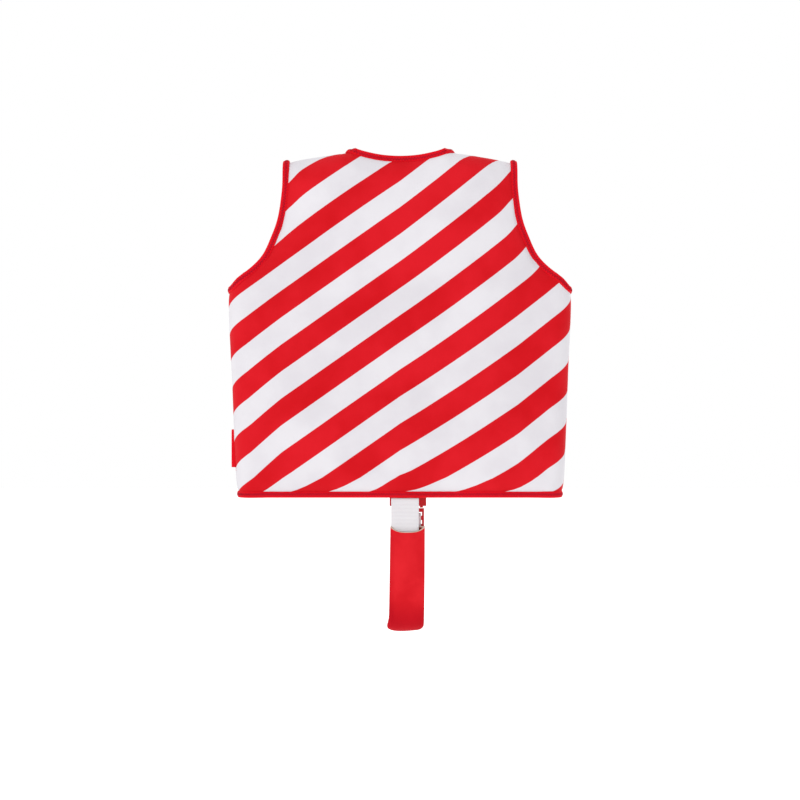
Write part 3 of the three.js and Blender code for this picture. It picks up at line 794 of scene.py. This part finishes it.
def knit(finish, where):
    """Fine ribs and stitches of a knit, as relief, and a slow change of tone."""
    x, y, z = finish.axes(where)
    ribs = ((x + y) * (math.tau / RIB_PITCH)).sine() * 0.5
    rows = (z * (math.tau / ROW_PITCH)).sine() * 0.5
    fuzz = finish.noise(where, 900.0)
    finish.relief(ribs * rows + fuzz * 0.6, 0.35, 0.12 * MM)
    finish.feed("Roughness", finish.noise(where, 60.0) * 0.16 + 0.62)
    return finish.between(finish.noise(where, 22.0, 3.0), 0.3, 0.7)


def striped():
    finish = Finish("printed knit", 0.7, Specular_IOR_Level=0.08, Sheen_Weight=0.02)
    across, up, _ = finish.axes(finish.stored("flat"))
    right_half = (across * -1.0).at_least(0.0)
    fan = right_half * (up - BAND_FAN_HEIGHT) * BAND_FAN
    bands = ((BAND_START - across * BAND_SLOPE + fan - up) / BAND_PITCH).fraction()
    wobble = finish.noise(finish.place(), 500.0) * 0.006 - 0.003
    from_middle = (bands + wobble - 0.25).size()
    upper = finish.between(from_middle, 0.25 - BAND_SOFTNESS, 0.25 + BAND_SOFTNESS)
    lower = 1 - finish.between(from_middle, 0.75 - BAND_SOFTNESS, 0.75 + BAND_SOFTNESS)
    white = upper * lower
    tone = knit(finish, finish.place())
    red = finish.blend(tone, colour(222, 10, 24), colour(236, 24, 38))
    pale = finish.blend(tone, colour(237, 233, 239), colour(247, 244, 249))
    finish.feed("Base Color", finish.blend(white, red, pale))
    return finish.material


def plain_knit(name, dark, light):
    finish = Finish(name, 0.7, Specular_IOR_Level=0.08, Sheen_Weight=0.02)
    tone = knit(finish, finish.place())
    finish.feed("Base Color", finish.blend(tone, dark, light))
    return finish.material


printed = striped()
lining_knit = plain_knit("lining knit", colour(178, 18, 32), colour(196, 26, 40))
binding_cloth = plain_knit("binding", colour(232, 6, 26), colour(244, 12, 34))
tape_cloth = plain_knit("zip tape", colour(186, 18, 32), colour(204, 24, 38))
print("nodes in the printed knit:", len(printed.node_tree.nodes))

# %% [markdown]
# Webbing is woven from thick yarns, which show as close ribs across the strap. An image of a
# weave would do, but two waves are sharper at every distance: one for the ribs, and one for the
# yarns, which shift sideways from rib to rib.

# %% Webbing
WEAVE_PITCH = 1.25 * MM
YARN_PITCH = 0.8 * MM


def webbing_finish():
    finish = Finish("white webbing", 0.6, Specular_IOR_Level=0.3)
    where = finish.place()
    x, _, z = finish.axes(where)
    ribs = (z * (math.tau / WEAVE_PITCH)).sine()
    yarns = (x * (math.tau / YARN_PITCH) + ribs * 0.8).sine()
    finish.relief(ribs + yarns * 0.4, 0.6, 0.16 * MM)
    shade = finish.between(ribs + yarns * 0.3, -1.3, 0.6)
    finish.feed("Base Color", finish.blend(shade, colour(236, 231, 238), colour(255, 253, 255)))
    return finish.material


white_webbing = webbing_finish()
print("nodes in the webbing:", len(white_webbing.node_tree.nodes))

# %% [markdown]
# The sleeve is foam rubber with a fine smooth cloth on it, and sewing thread is as plain. Both
# need only a slow change of tone and a little grain. The sleeve also has painted shade: its
# colour is darker towards its bend and along one side.

# %% Sleeve cloth and thread
# painted shade on the sleeve: it darkens between these heights towards the bend, and across these
# distances towards one side
BEND_SHADE_START, BEND_SHADE_FULL = 405 * MM, 434 * MM       # below the vest's origin
SIDE_SHADE_START, SIDE_SHADE_FULL = 3.5 * MM, 9.5 * MM         # across, towards the sleeve's side


def rubber_cloth(name, dark, light, roughness=0.75):
    """Smooth knit over foam rubber, as on the sleeve and its cut edges."""
    finish = Finish(name, roughness, Specular_IOR_Level=0.08, Sheen_Weight=0.02)
    where = finish.place()
    tone = finish.between(finish.noise(where, 40.0, 3.0), 0.3, 0.7)
    finish.feed("Base Color", finish.blend(tone, dark, light))
    finish.relief(finish.noise(where, 1100.0), 0.3, 0.1 * MM)
    return finish.material


def sleeve_finish():
    """The sleeve's cloth, with painted shade: darker towards the bend and along one side."""
    finish = Finish("sleeve", 0.75, Specular_IOR_Level=0.08, Sheen_Weight=0.02)
    where = finish.place()
    x, _, z = finish.axes(where)
    tone = finish.between(finish.noise(where, 40.0, 3.0), 0.3, 0.7)
    bright = finish.blend(tone, colour(226, 22, 34), colour(242, 36, 46))
    # painted shade: this darker red is blended in towards the bend and along one side
    deep = finish.blend(tone, colour(200, 4, 26), colour(212, 8, 30))
    low = finish.between(z * -1.0, BEND_SHADE_START, BEND_SHADE_FULL)
    side_shade = finish.between(x, SIDE_SHADE_START, SIDE_SHADE_FULL) * 0.55
    finish.feed("Base Color", finish.blend(low + side_shade, bright, deep))
    finish.relief(finish.noise(where, 1100.0), 0.3, 0.1 * MM)
    return finish.material


sleeve_cloth = sleeve_finish()
sleeve_rim = rubber_cloth("sleeve's cut edge", colour(214, 186, 170), colour(232, 208, 192))
sleeve_inside = rubber_cloth("sleeve's inside", colour(150, 12, 24), colour(168, 18, 30))
thread_finish = rubber_cloth("stitching thread", colour(192, 8, 38), colour(208, 14, 46), 0.5)
pale_thread = rubber_cloth("white thread", colour(222, 216, 224), colour(240, 236, 242), 0.5)
print("nodes in the sleeve's cloth:", len(sleeve_cloth.node_tree.nodes))

# %% [markdown]
# The buckle and the zip are moulded plastic, half glossy, with the faint grain of their mould.
# Varying the roughness a little breaks up the reflections, as handling does.

# %% Plastic
def plastic(name, dark, light, roughness):
    finish = Finish(name, roughness, Specular_IOR_Level=0.25)
    where = finish.place()
    tone = finish.between(finish.noise(where, 120.0, 3.0), 0.3, 0.7)
    finish.feed("Base Color", finish.blend(tone, dark, light))
    finish.feed("Roughness", finish.noise(where, 300.0) * 0.2 + (roughness - 0.1))
    finish.relief(finish.noise(where, 700.0), 0.12, 0.08 * MM)
    return finish.material


red_plastic = plastic("red plastic", colour(232, 6, 26), colour(244, 12, 32), 0.32)
zip_plastic = plastic("zip plastic", colour(204, 8, 26), colour(220, 14, 32), 0.3)
print("finishes:", len(bpy.data.materials))

# %% [markdown]
# The panels get their finishes and the cloth pass, and the back and the right front ride on the
# back's body. The left front swings open on the side seam; its cover only has its transform baked.


def bend_at_side(piece):
    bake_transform(piece)


for piece in panels:
    piece.data.materials.append(printed)
    piece.data.materials.append(lining_knit)
    press_out(piece)
    smoothed(piece)
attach(back_panel, "back")
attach(front_right_panel, "back")
bend_at_side(front_left_panel)
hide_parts("back_shell", "back_foam", "back_lining", "shoulder_left", "shoulder_right")
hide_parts("front_right_shell", "front_right_foam", "front_right_lining")
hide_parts("front_left_shell", "front_left_foam", "front_left_lining",
            "side_gusset_left")
print("panels finished:", [piece.name for piece in panels])

# %% [markdown]
# Bindings, straps, sleeve and tab are all one section carried along a path. Blender's curve
# objects could do that, but here the section changes on the way, so a grid is bent into the
# tube: its columns become the stations of the path and its rows go round the section. A stitch
# is a small spindle of thread, drawn out from a sphere.

# %% Sweeps
THREAD_REACH = 1.1                         # a spindle reaches a little past its two ends


def sweep(shape, stations, ring):
    """Closed tube through the stations; each turns a ring point (w, h) into a place."""
    steps, around = len(stations) - 1, len(ring)
    made = bmesh.ops.create_grid(shape, x_segments=steps, y_segments=around, size=0.5)["verts"]
    for vert in made:
        step = round((vert.co.x + 0.5) * steps)
        turn = round((vert.co.y + 0.5) * around) % around
        vert.co = stations[step](*ring[turn])
    bmesh.ops.remove_doubles(shape, verts=made, dist=1e-6)


def close_ends(shape):
    bmesh.ops.holes_fill(shape, edges=[e for e in shape.edges if e.is_boundary])


def rounded_ring(width, height, around=16, squareness=4):
    """Points of a rectangle with soft corners."""
    ring = []
    for i in range(around):
        turn = math.tau * (i + 0.5) / around
        w, h = math.cos(turn), math.sin(turn)
        ring.append((width / 2 * math.copysign(abs(w) ** (2 / squareness), w),
                     height / 2 * math.copysign(abs(h) ** (2 / squareness), h)))
    return ring


def thread(shape, start, end, radius):
    """One stitch: a spindle between two points."""
    middle, along = (start + end) / 2, end - start
    made = bmesh.ops.create_uvsphere(shape, u_segments=6, v_segments=4, radius=radius)["verts"]
    bmesh.ops.scale(shape, vec=(1, 1, along.length / 2 / radius * THREAD_REACH), verts=made)
    bmesh.ops.rotate(shape, cent=(0, 0, 0), verts=made,
                     matrix=along.to_track_quat("Z", "Y").to_matrix())
    bmesh.ops.translate(shape, vec=middle, verts=made)


print("points of a soft square ring:", len(rounded_ring(1, 1)))

# %% [markdown]
# Binding is a strip of cloth folded round a raw edge and sewn down with a zigzag. A sweep along
# the pattern's edge gives the fold, flat and a little ruffled by its stitches. It stands proud
# of both faces, so that padding and lining run in under it. At the side seam the ends of the
# front's and the back's binding meet on one line.

# %% Bindings
BIND_PROUD = 1 * MM
BIND_STEP = 4 * MM
RUFFLE = 0.12 * MM
RUFFLE_LENGTH = 1.3 * MM
STITCH_PITCH = 2.5 * MM
STITCH_OUTER, STITCH_INNER = 1.9 * MM, 4.6 * MM        # the zigzag's turns, from the edge in
THREAD_RADIUS = 0.4 * MM
THREAD_LIFT = 0.05 * MM


def edge_point(curve, share, inward, distance, side):
    """A point of the pattern beside an edge, on the left or the right half of the vest."""
    point = curve.beside(share, inward * distance)
    return Vector((side * point.x, point.y))


def bind(name, curve, face, side, inward, body, nodes, start=0.0, end=1.0):
    """Folded binding with its zigzag; without a body, its transform is only baked."""
    steps = max(8, int(curve.length * (end - start) / BIND_STEP))

    def station(share):
        def place(w, h):
            point = edge_point(curve, share, inward, w + BIND_WIDTH / 2, side)
            if share == 1 and abs(point.x) > CHEST_AXIS:
                point.x = side * (CHEST_AXIS + SIDE_ARC)
            low, high = edge_depths(point.x)
            middle, half = (low + high) / 2, (high - low) / 2 + BIND_PROUD
            ruffle = RUFFLE * math.sin(share * curve.length / RUFFLE_LENGTH)
            return on_vest(point.x, middle + h * (half + ruffle), point.y, face)
        return place

    shape = bmesh.new()
    sweep(shape, [station(mix(start, end, i / steps)) for i in range(steps + 1)],
          rounded_ring(BIND_WIDTH, 2, 16, 5))
    close_ends(shape)
    tape = new_piece(name, shape, [binding_cloth], body)
    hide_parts(*nodes)

    def on_top(share, distance):
        point = edge_point(curve, share, inward, distance, side)
        depth = edge_depths(point.x)[1] + BIND_PROUD + THREAD_LIFT
        return on_vest(point.x, depth, point.y, face)

    count = int(curve.length * (end - start) / STITCH_PITCH)
    shape = bmesh.new()
    for i in range(count):
        here, there = mix(start, end, (i + 0.3) / count), mix(start, end, (i + 0.8) / count)
        after = mix(start, end, min(1, (i + 1.3) / count))
        inner = on_top(there, STITCH_INNER)
        thread(shape, on_top(here, STITCH_OUTER), inner, THREAD_RADIUS)
        thread(shape, inner, on_top(after, STITCH_OUTER), THREAD_RADIUS)
    stitches = new_piece(name + "_stitches", shape, [thread_finish], body)
    if not body:
        bend_at_side(tape)
        bend_at_side(stitches)


zip_share = ZIP_EDGE / hem_line.length
for name, side in (("left", 1), ("right", -1)):
    swings = None if side > 0 else "back"
    bind(f"armhole_edge_back_{name}", back_armhole, 1, side, -1, "back",
         [f"armhole_binding_back_{name}"])
    bind(f"armhole_edge_front_{name}", front_armhole, -1, side, -1, swings,
         [f"armhole_binding_front_{name}"])
    bind(f"neck_edge_front_{name}", front_neck, -1, side, 1,
         "front_left" if side > 0 else "back", [f"neck_binding_front_{name}"])
    bind(f"hem_edge_front_{name}", hem_line, -1, side, 1, swings,
         [f"hem_binding_front_{name}"], start=zip_share)
bind("neck_edge_back", whole_back_neck, 1, 1, -1, "back", ["neck_binding_back"])
bind("hem_edge_back", whole_hem, 1, 1, 1, "back", ["hem_binding_back_left", "hem_binding_back_right"])

# %% [markdown]
# The crotch strap is flat webbing in two legs, which hold a sleeve and a buckle between them.
# The frame gives the place of each, and the rest follows: the bend of the sleeve is a half
# circle between the two legs, and the slot of the buckle's ladder is where the webbing turns.

# %% Sizes of the strap
back_leg_low, back_leg_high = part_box("strap_back_leg")
sleeve_low, sleeve_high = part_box("strap_sleeve")
front_leg_low, front_leg_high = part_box("strap_front_leg")
tab_low, tab_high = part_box("strap_front_tab")

WEB_WIDTH = back_leg_high.x - back_leg_low.x
WEB = back_leg_high.y - back_leg_low.y
BACK_Y = (back_leg_low.y + back_leg_high.y) / 2
FRONT_Y = -14 * MM                         # the front leg hangs this far in front of the middle
SLEEVE_X = (sleeve_low.x + sleeve_high.x) / 2
BEND_Y, BEND_R = (BACK_Y + FRONT_Y) / 2, (BACK_Y - FRONT_Y) / 2
SLEEVE_THICK = 2 * (sleeve_high.y - BACK_Y)
BEND_Z = sleeve_low.z + BEND_R + SLEEVE_THICK / 2
SLOT_Z = front_leg_high.z - WEB / 2
TAIL_Y = front_leg_low.y + WEB / 2
TAIL_END = SLOT_Z - 42 * MM
BEND_STEPS = 24


def bend():
    """Half circle from the back leg to the front leg, as places (y, z)."""
    turns = [math.pi * i / BEND_STEPS for i in range(BEND_STEPS + 1)]
    return [(BEND_Y + BEND_R * math.cos(t), BEND_Z - BEND_R * math.sin(t)) for t in turns]


print("webbing:", round(WEB_WIDTH / MM, 1), "mm wide,", round(WEB / MM, 1), "mm thick")

# %% [markdown]
# A strap is the sweep of one rounded section along a path seen from the side. Real webbing is
# never quite flat, so a slight lazy wave can run through it. Stitches stand in rows across it.

# %% Ribbons and rows of stitches
SAG_LENGTH = 17 * MM
STITCH_LENGTH = 2.6 * MM
STITCH_RADIUS = 0.35 * MM
STITCH_REACH = WEB_WIDTH * 0.42            # half of a row, which stops short of the selvedges
STITCH_LIFT = 0.1 * MM


def side_ribbon(shape, path, x, width, thickness, sag=0.0, pitch=2 * MM):
    """Flat strap along a path of (y, z); sag gives it a slight lazy wave."""
    steps = int(path.length / pitch)

    def station(share):
        wave = sag * math.sin(share * path.length / SAG_LENGTH)

        def place(w, h):
            curl = wave * math.cos(w / width * 3)
            at = path.beside(share, h + curl)
            return Vector((x + w, at.x, at.y))
        return place

    sweep(shape, [station(i / steps) for i in range(steps + 1)],
          rounded_ring(width, thickness, 20, 5))
    close_ends(shape)


def stitch_line(shape, start, end):
    """Straight row of stitches, with a small gap between each two."""
    count = max(1, round((end - start).length / STITCH_LENGTH))
    for i in range(count):
        thread(shape, start.lerp(end, (i + 0.15) / count), start.lerp(end, (i + 0.85) / count),
               STITCH_RADIUS)


def stitch_rows(name, x, y, heights, body):
    """Rows of white stitches across the webbing, as one piece."""
    shape = bmesh.new()
    for z in heights:
        stitch_line(shape, Vector((x - STITCH_REACH, y, z)), Vector((x + STITCH_REACH, y, z)))
    rows = new_piece(name, shape, [pale_thread], body)


print("a row of stitches is", round(2 * STITCH_REACH / MM, 1), "mm wide")

# %% [markdown]
# The back leg comes straight down from the hem into the sleeve. It is a little wider than its
# nominal size, as soft webbing spreads where nothing squeezes it.

# %% Back leg
BACK_LEG_X = (back_leg_low.x + back_leg_high.x) / 2 + 0.4 * MM

shape = bmesh.new()
back_path = Curve([(BACK_Y, back_leg_high.z), (BACK_Y, back_leg_low.z)], False)
side_ribbon(shape, back_path, BACK_LEG_X, WEB_WIDTH + 0.6 * MM, WEB, 0.25 * MM)
back_leg = new_piece("back_leg", shape, [white_webbing], "back")
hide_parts("strap_back_leg")
print("back leg", round(back_path.length, 3), "m long")

# %% [markdown]
# The front leg lies in the sleeve's bend, runs up behind the ladder of the buckle, comes forward
# through its slot and hangs down as a tail, with two rows of stitches near its end. It is one
# ribbon, so that the webbing really runs through the buckle.

# %% Front leg
front_path = Curve([(BACK_Y, back_leg_low.z - 0.6 * MM), *bend(), (FRONT_Y, SLOT_Z - 1.2 * MM),
                    (FRONT_Y - 0.4 * MM, SLOT_Z - 0.3 * MM), (FRONT_Y - 1.2 * MM, SLOT_Z),
                    (TAIL_Y + 1.2 * MM, SLOT_Z), (TAIL_Y + 0.4 * MM, SLOT_Z - 0.3 * MM),
                    (TAIL_Y, SLOT_Z - 1.2 * MM), (TAIL_Y, TAIL_END)], False)
shape = bmesh.new()
side_ribbon(shape, front_path, SLEEVE_X, WEB_WIDTH, WEB, 0, 0.8 * MM)
front_leg = new_piece("front_leg", shape, [white_webbing], "strap_pad")
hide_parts("strap_front_leg")

stitch_rows("tail_stitches", SLEEVE_X, TAIL_Y - WEB / 2 - STITCH_LIFT,
            (TAIL_END + 4 * MM, TAIL_END + 9 * MM), "strap_pad")
print("front leg", round(front_path.length, 3), "m long")

# %% [markdown]
# A short loop of webbing holds the buckle's socket to the front hem. It is sewn down with two
# rows of stitches at its top.

# %% Front tab
TAB_Y = (tab_low.y + tab_high.y) / 2
TAB_X = (tab_low.x + tab_high.x) / 2
tab_half = (tab_high.y - tab_low.y) / 2 - WEB / 2
tab_turn_z = tab_low.z + WEB / 2 + tab_half
turns = [math.pi * i / 10 for i in range(11)]
tab_turn = [(TAB_Y + tab_half * math.cos(t), tab_turn_z - tab_half * math.sin(t)) for t in turns]
tab_path = Curve([(TAB_Y + tab_half, tab_high.z), *tab_turn, (TAB_Y - tab_half, tab_high.z)], False)
shape = bmesh.new()
side_ribbon(shape, tab_path, TAB_X, WEB_WIDTH, WEB, 0, 0.8 * MM)
front_tab = new_piece("front_tab", shape, [white_webbing], "back")
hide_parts("strap_front_tab")

stitch_rows("tab_stitches", TAB_X, tab_low.y - STITCH_LIFT,
            (tab_high.z - 1.6 * MM, tab_high.z - 4.2 * MM), "back")
print("front tab", round(tab_path.length, 3), "m long")

# %% [markdown]
# The sleeve is a flat tube of thin foam rubber with cloth on its outside. Only its outer skin
# is modelled, and a Solidify modifier gives the wall, with the pale cut edge as its rim. At
# the bend it is pushed together a little, so it spreads and wrinkles there.

# %% Sleeve
SLEEVE_WIDTH = sleeve_high.x - sleeve_low.x
SLEEVE_STEP = 2.5 * MM
SLEEVE_WALL = 1.7 * MM
CUT_EDGE = 1.1 * MM
BENT_REACH = 19 * MM                       # how far from the bend each effect dies away
EAR_REACH = 10 * MM
TIP_REACH = 4.5 * MM
MOUTH_REACH = 9 * MM
MOUTH_DIP = 5.2 * MM
sleeve_path = Curve([(BACK_Y, sleeve_high.z + 1.5 * MM), *bend(), (FRONT_Y, sleeve_high.z)], False)


def sleeve_station(share):
    """One section of the sleeve: spread and crumpled at the bend, dipping at its mouths."""
    from_bend = (share - 0.5) * sleeve_path.length
    bent = math.exp(-(from_bend / BENT_REACH) ** 2)
    ear = math.exp(-(from_bend / EAR_REACH) ** 2)
    tip = math.exp(-(from_bend / TIP_REACH) ** 2)
    down = min(share, 1 - share) * 2
    to_mouth = min(share, 1 - share) * sleeve_path.length
    open_wide = math.exp(-to_mouth / MOUTH_REACH)

    def place(w, h):
        where = Vector((w, from_bend, h)) * 55
        crumple = noise.noise(where) * mix(0.3 * MM, 0.9 * MM, bent)
        outer = h > 0
        edge = abs(2 * w / SLEEVE_WIDTH)
        dip = MOUTH_DIP * open_wide * (1 - edge ** 3) * outer
        if w > 0:
            flare = (1.6 * MM * down + 3 * MM * ear - 2.6 * MM * tip) * edge
        else:
            flare = (0.9 * MM * down ** 2 + 2 * MM * tip) * edge
        at = sleeve_path.beside(share, h * (1 - 0.12 * bent) + (crumple if outer else 0))
        low = -dip if share < 0.5 else -dip * 0.5
        return Vector((SLEEVE_X + w + flare, at.x, at.y + low))
    return place


shape = bmesh.new()
sleeve_steps = int(sleeve_path.length / SLEEVE_STEP)
cut = CUT_EDGE / sleeve_path.length
shares = [0, cut, *[i / sleeve_steps for i in range(1, sleeve_steps)], 1 - cut, 1]
sweep(shape, [sleeve_station(share) for share in shares],
      rounded_ring(SLEEVE_WIDTH, SLEEVE_THICK, 40, 2.8))
for end in [e for e in shape.edges if e.is_boundary]:
    end.link_faces[0].material_index = 2
sleeve = new_piece("sleeve", shape, [sleeve_cloth, sleeve_inside, sleeve_rim], "strap_pad")
wall = sleeve.modifiers.new("wall", "SOLIDIFY")
wall.thickness = SLEEVE_WALL
wall.offset = -1
wall.material_offset = 1
wall.material_offset_rim = 2
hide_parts("strap_sleeve")
print("sleeve", round(SLEEVE_WIDTH / MM, 1), "mm wide")

# %% [markdown]
# The side tab is a folded piece of ribbon caught in the left side seam. It is swept along its
# fold, so that its two layers lie apart and its outer end is round, which a flat plate lacks.

# %% Side tab
side_low, side_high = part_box("side_tab")
tab_mid = (side_low.y + side_high.y) / 2
RIBBON = 0.8 * MM                          # its thickness; its layers lie this far from the middle
turn_x = side_high.x - 1.2 * MM
loop_points = [(side_low.x, tab_mid + RIBBON), (turn_x, tab_mid + RIBBON)]
loop_points += [(turn_x + RIBBON * math.sin(t), tab_mid + RIBBON * math.cos(t))
                for t in [math.pi * i / 8 for i in range(1, 8)]]
loop_points += [(turn_x, tab_mid - RIBBON), (side_low.x, tab_mid - RIBBON)]
loop_path = Curve(loop_points, False)
tab_centre = (side_low.z + side_high.z) / 2


def tab_station(share):
    def place(w, h):
        at = loop_path.beside(share, h)
        return Vector((at.x, at.y, tab_centre + w))
    return place


shape = bmesh.new()
sweep(shape, [tab_station(i / 24) for i in range(25)],
      rounded_ring(side_high.z - side_low.z, RIBBON, 20, 6))
close_ends(shape)
side_loop = new_piece("side_loop", shape, [binding_cloth], "back")
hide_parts("side_tab")
print("side tab stands out", round((side_high.x - side_low.x) / MM, 1), "mm")

# %% [markdown]
# Moulded parts keep the frame's shapes, because those fit each other and move. Their edges
# are rounded, as any moulded part's are: doubles are merged, flat faces joined, then bevelled.

# %% Buckle and small zip parts
FLAT = math.radians(2)                     # faces that turn less than this are joined
SHARP = math.radians(30)                   # edges that turn more than this are rounded


def softened(name, node, finish, body, width):
    """A copy of a frame's part with rounded edges, which takes that part's place."""
    shape = bmesh.new()
    shape.from_mesh(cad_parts[node].data)
    bmesh.ops.remove_doubles(shape, verts=shape.verts, dist=0.01 * MM)
    bmesh.ops.dissolve_limit(shape, angle_limit=FLAT, verts=shape.verts,
                             edges=shape.edges)
    hard = [e for e in shape.edges if e.calc_face_angle(0) > SHARP]
    bmesh.ops.bevel(shape, geom=hard, offset=width, segments=2, affect="EDGES", profile=0.5,
                    material=-1, clamp_overlap=True)
    piece = new_piece(name, shape, [finish], body)
    facets(piece, False)
    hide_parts(node)


softened("socket_body", "buckle_socket", red_plastic, "back", 1 * MM)
softened("plug_body", "buckle_plug", red_plastic, "strap_pad", 0.6 * MM)
for name in ("left", "right"):
    softened(f"prong_arm_{name}", f"buckle_prong_{name}", red_plastic, f"prong_{name}",
             0.6 * MM)
    softened(f"top_stop_{name}", f"zip_top_stop_{name}", zip_plastic,
             "front_left" if name == "left" else "back", 0.3 * MM)
softened("insertion_pin", "zip_insertion_pin", zip_plastic, "front_left", 0.3 * MM)
softened("retaining_box", "zip_retaining_box", zip_plastic, "back", 0.6 * MM)
softened("pull_tab", "zip_pull", zip_plastic, "zip_pull", 0.4 * MM)

# %% [markdown]
# The slider is two tapered plates with a bridge for the pull. The wedge between the plates is
# left out, because it can't be seen and would cut through the closed teeth.

# %% Slider
slider_low, slider_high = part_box("zip_slider")
PLATE = 1.4 * MM
BRIDGE_RISE = 4.2 * MM
BAR = 1.5 * MM                             # half the bridge's width, and its feet's setback
TAPER = 0.78


def beveled_block(shape, low, high, width, narrow=1.0):
    """Box with rounded edges; narrow is the width of its bottom as a share of its top's."""
    low, high = Vector(low), Vector(high)
    made = bmesh.ops.create_cube(shape, size=1)["verts"]
    for vert in made:
        if vert.co.z < 0:
            vert.co.x *= narrow
    bmesh.ops.scale(shape, vec=high - low, verts=made)
    bmesh.ops.translate(shape, vec=(low + high) / 2, verts=made)
    edges = {e for v in made for e in v.link_edges}
    bmesh.ops.bevel(shape, geom=list(edges), offset=width, segments=2, affect="EDGES",
                    profile=0.5, material=-1)


shape = bmesh.new()
x_half, top, bottom = slider_high.x, slider_high.z, slider_low.z
front_y, back_y = slider_low.y + BRIDGE_RISE, slider_high.y
for near_y, far_y in ((front_y, front_y + PLATE), (back_y - PLATE, back_y)):
    beveled_block(shape, (-x_half, near_y, bottom), (x_half, far_y, top), 0.45 * MM, TAPER)
beveled_block(shape, (-BAR, slider_low.y, bottom + BAR),
              (BAR, slider_low.y + 1.2 * MM, top - BAR), 0.35 * MM)
feet = ((top - 3.5 * MM, top - BAR), (bottom + BAR, bottom + 3 * MM))
for foot_low, foot_high in feet:
    beveled_block(shape, (-BAR, slider_low.y + 0.2 * MM, foot_low),
                  (BAR, front_y + 0.5 * MM, foot_high), 0.3 * MM)
slider = new_piece("slider_body", shape, [zip_plastic], "zip_slider")
facets(slider, False)
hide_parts("zip_slider")
print("slider", round((top - bottom) / MM, 1), "mm long")

# %% [markdown]
# Each tooth of the zip is a small block moulded round the tape's cord, with a narrower head
# that sits between two teeth of the other side. There are over a hundred, so each is only two
# small cubes with one facet along their edges.

# %% A tooth
TOOTH_PITCH = 3.2 * MM
TOOTH_FACET = 0.28 * MM


def tooth(shape, side, z, low, high):
    """One tooth at height z; low and high are the corners of its chain."""
    middle = (low.y + high.y) / 2
    thick = high.y - low.y
    parts = ((1.9 * MM, 3.3 * MM, 1.9 * MM, thick), (-0.7 * MM, 2.1 * MM, 1.15 * MM, thick * 0.72))
    for inner, outer, tall, deep in parts:
        made = bmesh.ops.create_cube(shape, size=1)["verts"]
        bmesh.ops.scale(shape, vec=(outer - inner, deep, tall), verts=made)
        bmesh.ops.translate(shape, vec=(side * (inner + outer) / 2, middle, z), verts=made)
        edges = {e for v in made for e in v.link_edges}
        bmesh.ops.bevel(shape, geom=list(edges), offset=TOOTH_FACET, segments=1, affect="EDGES",
                        profile=0.5, material=-1)


print("teeth stand", round(TOOTH_PITCH / MM, 1), "mm apart")

# %% [markdown]
# Each half of the zip is a row of teeth on a tape, and the tape is sewn to the front's edge. The
# right row starts half a pitch higher, so that the heads pass between each other.

# %% Zip chain and tapes
zip_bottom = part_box("zip_teeth_right")[0].z

for name, side, body in (("left", 1, "front_left"), ("right", -1, "back")):
    teeth_low, teeth_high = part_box(f"zip_teeth_{name}")
    shape = bmesh.new()
    count = int((teeth_high.z - teeth_low.z) / TOOTH_PITCH) - 1
    start = zip_bottom + 1.2 * MM + (0 if side > 0 else TOOTH_PITCH / 2)
    for i in range(count):
        tooth(shape, side, start + i * TOOTH_PITCH, teeth_low, teeth_high)
    chain = new_piece(f"zip_chain_{name}", shape, [zip_plastic], body)
    facets(chain, False)
    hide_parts(f"zip_teeth_{name}")

    tape_low, tape_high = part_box(f"zip_tape_{name}")
    tape_x, tape_y = (tape_low.x + tape_high.x) / 2, (tape_low.y + tape_high.y) / 2
    shape = bmesh.new()
    side_ribbon(shape, Curve([(tape_y, tape_high.z), (tape_y, tape_low.z)], False), tape_x,
                tape_high.x - tape_low.x, tape_high.y - tape_low.y, 0.05 * MM, 3 * MM)
    tape = new_piece(f"tape_{name}", shape, [tape_cloth], body)
    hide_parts(f"zip_tape_{name}")
    shape = bmesh.new()
    stitch_x = side * (ZIP_EDGE - 2.2 * MM)
    stitch_y = tape_low.y - STITCH_LIFT
    stitch_line(shape, Vector((stitch_x, stitch_y, tape_low.z + 1 * MM)),
                Vector((stitch_x, stitch_y, tape_high.z - 1 * MM)))
    seam = new_piece(f"tape_stitches_{name}", shape, [thread_finish], body)
    print("zip half", name, "has", count, "teeth")

# %% [markdown]

# %% [markdown]
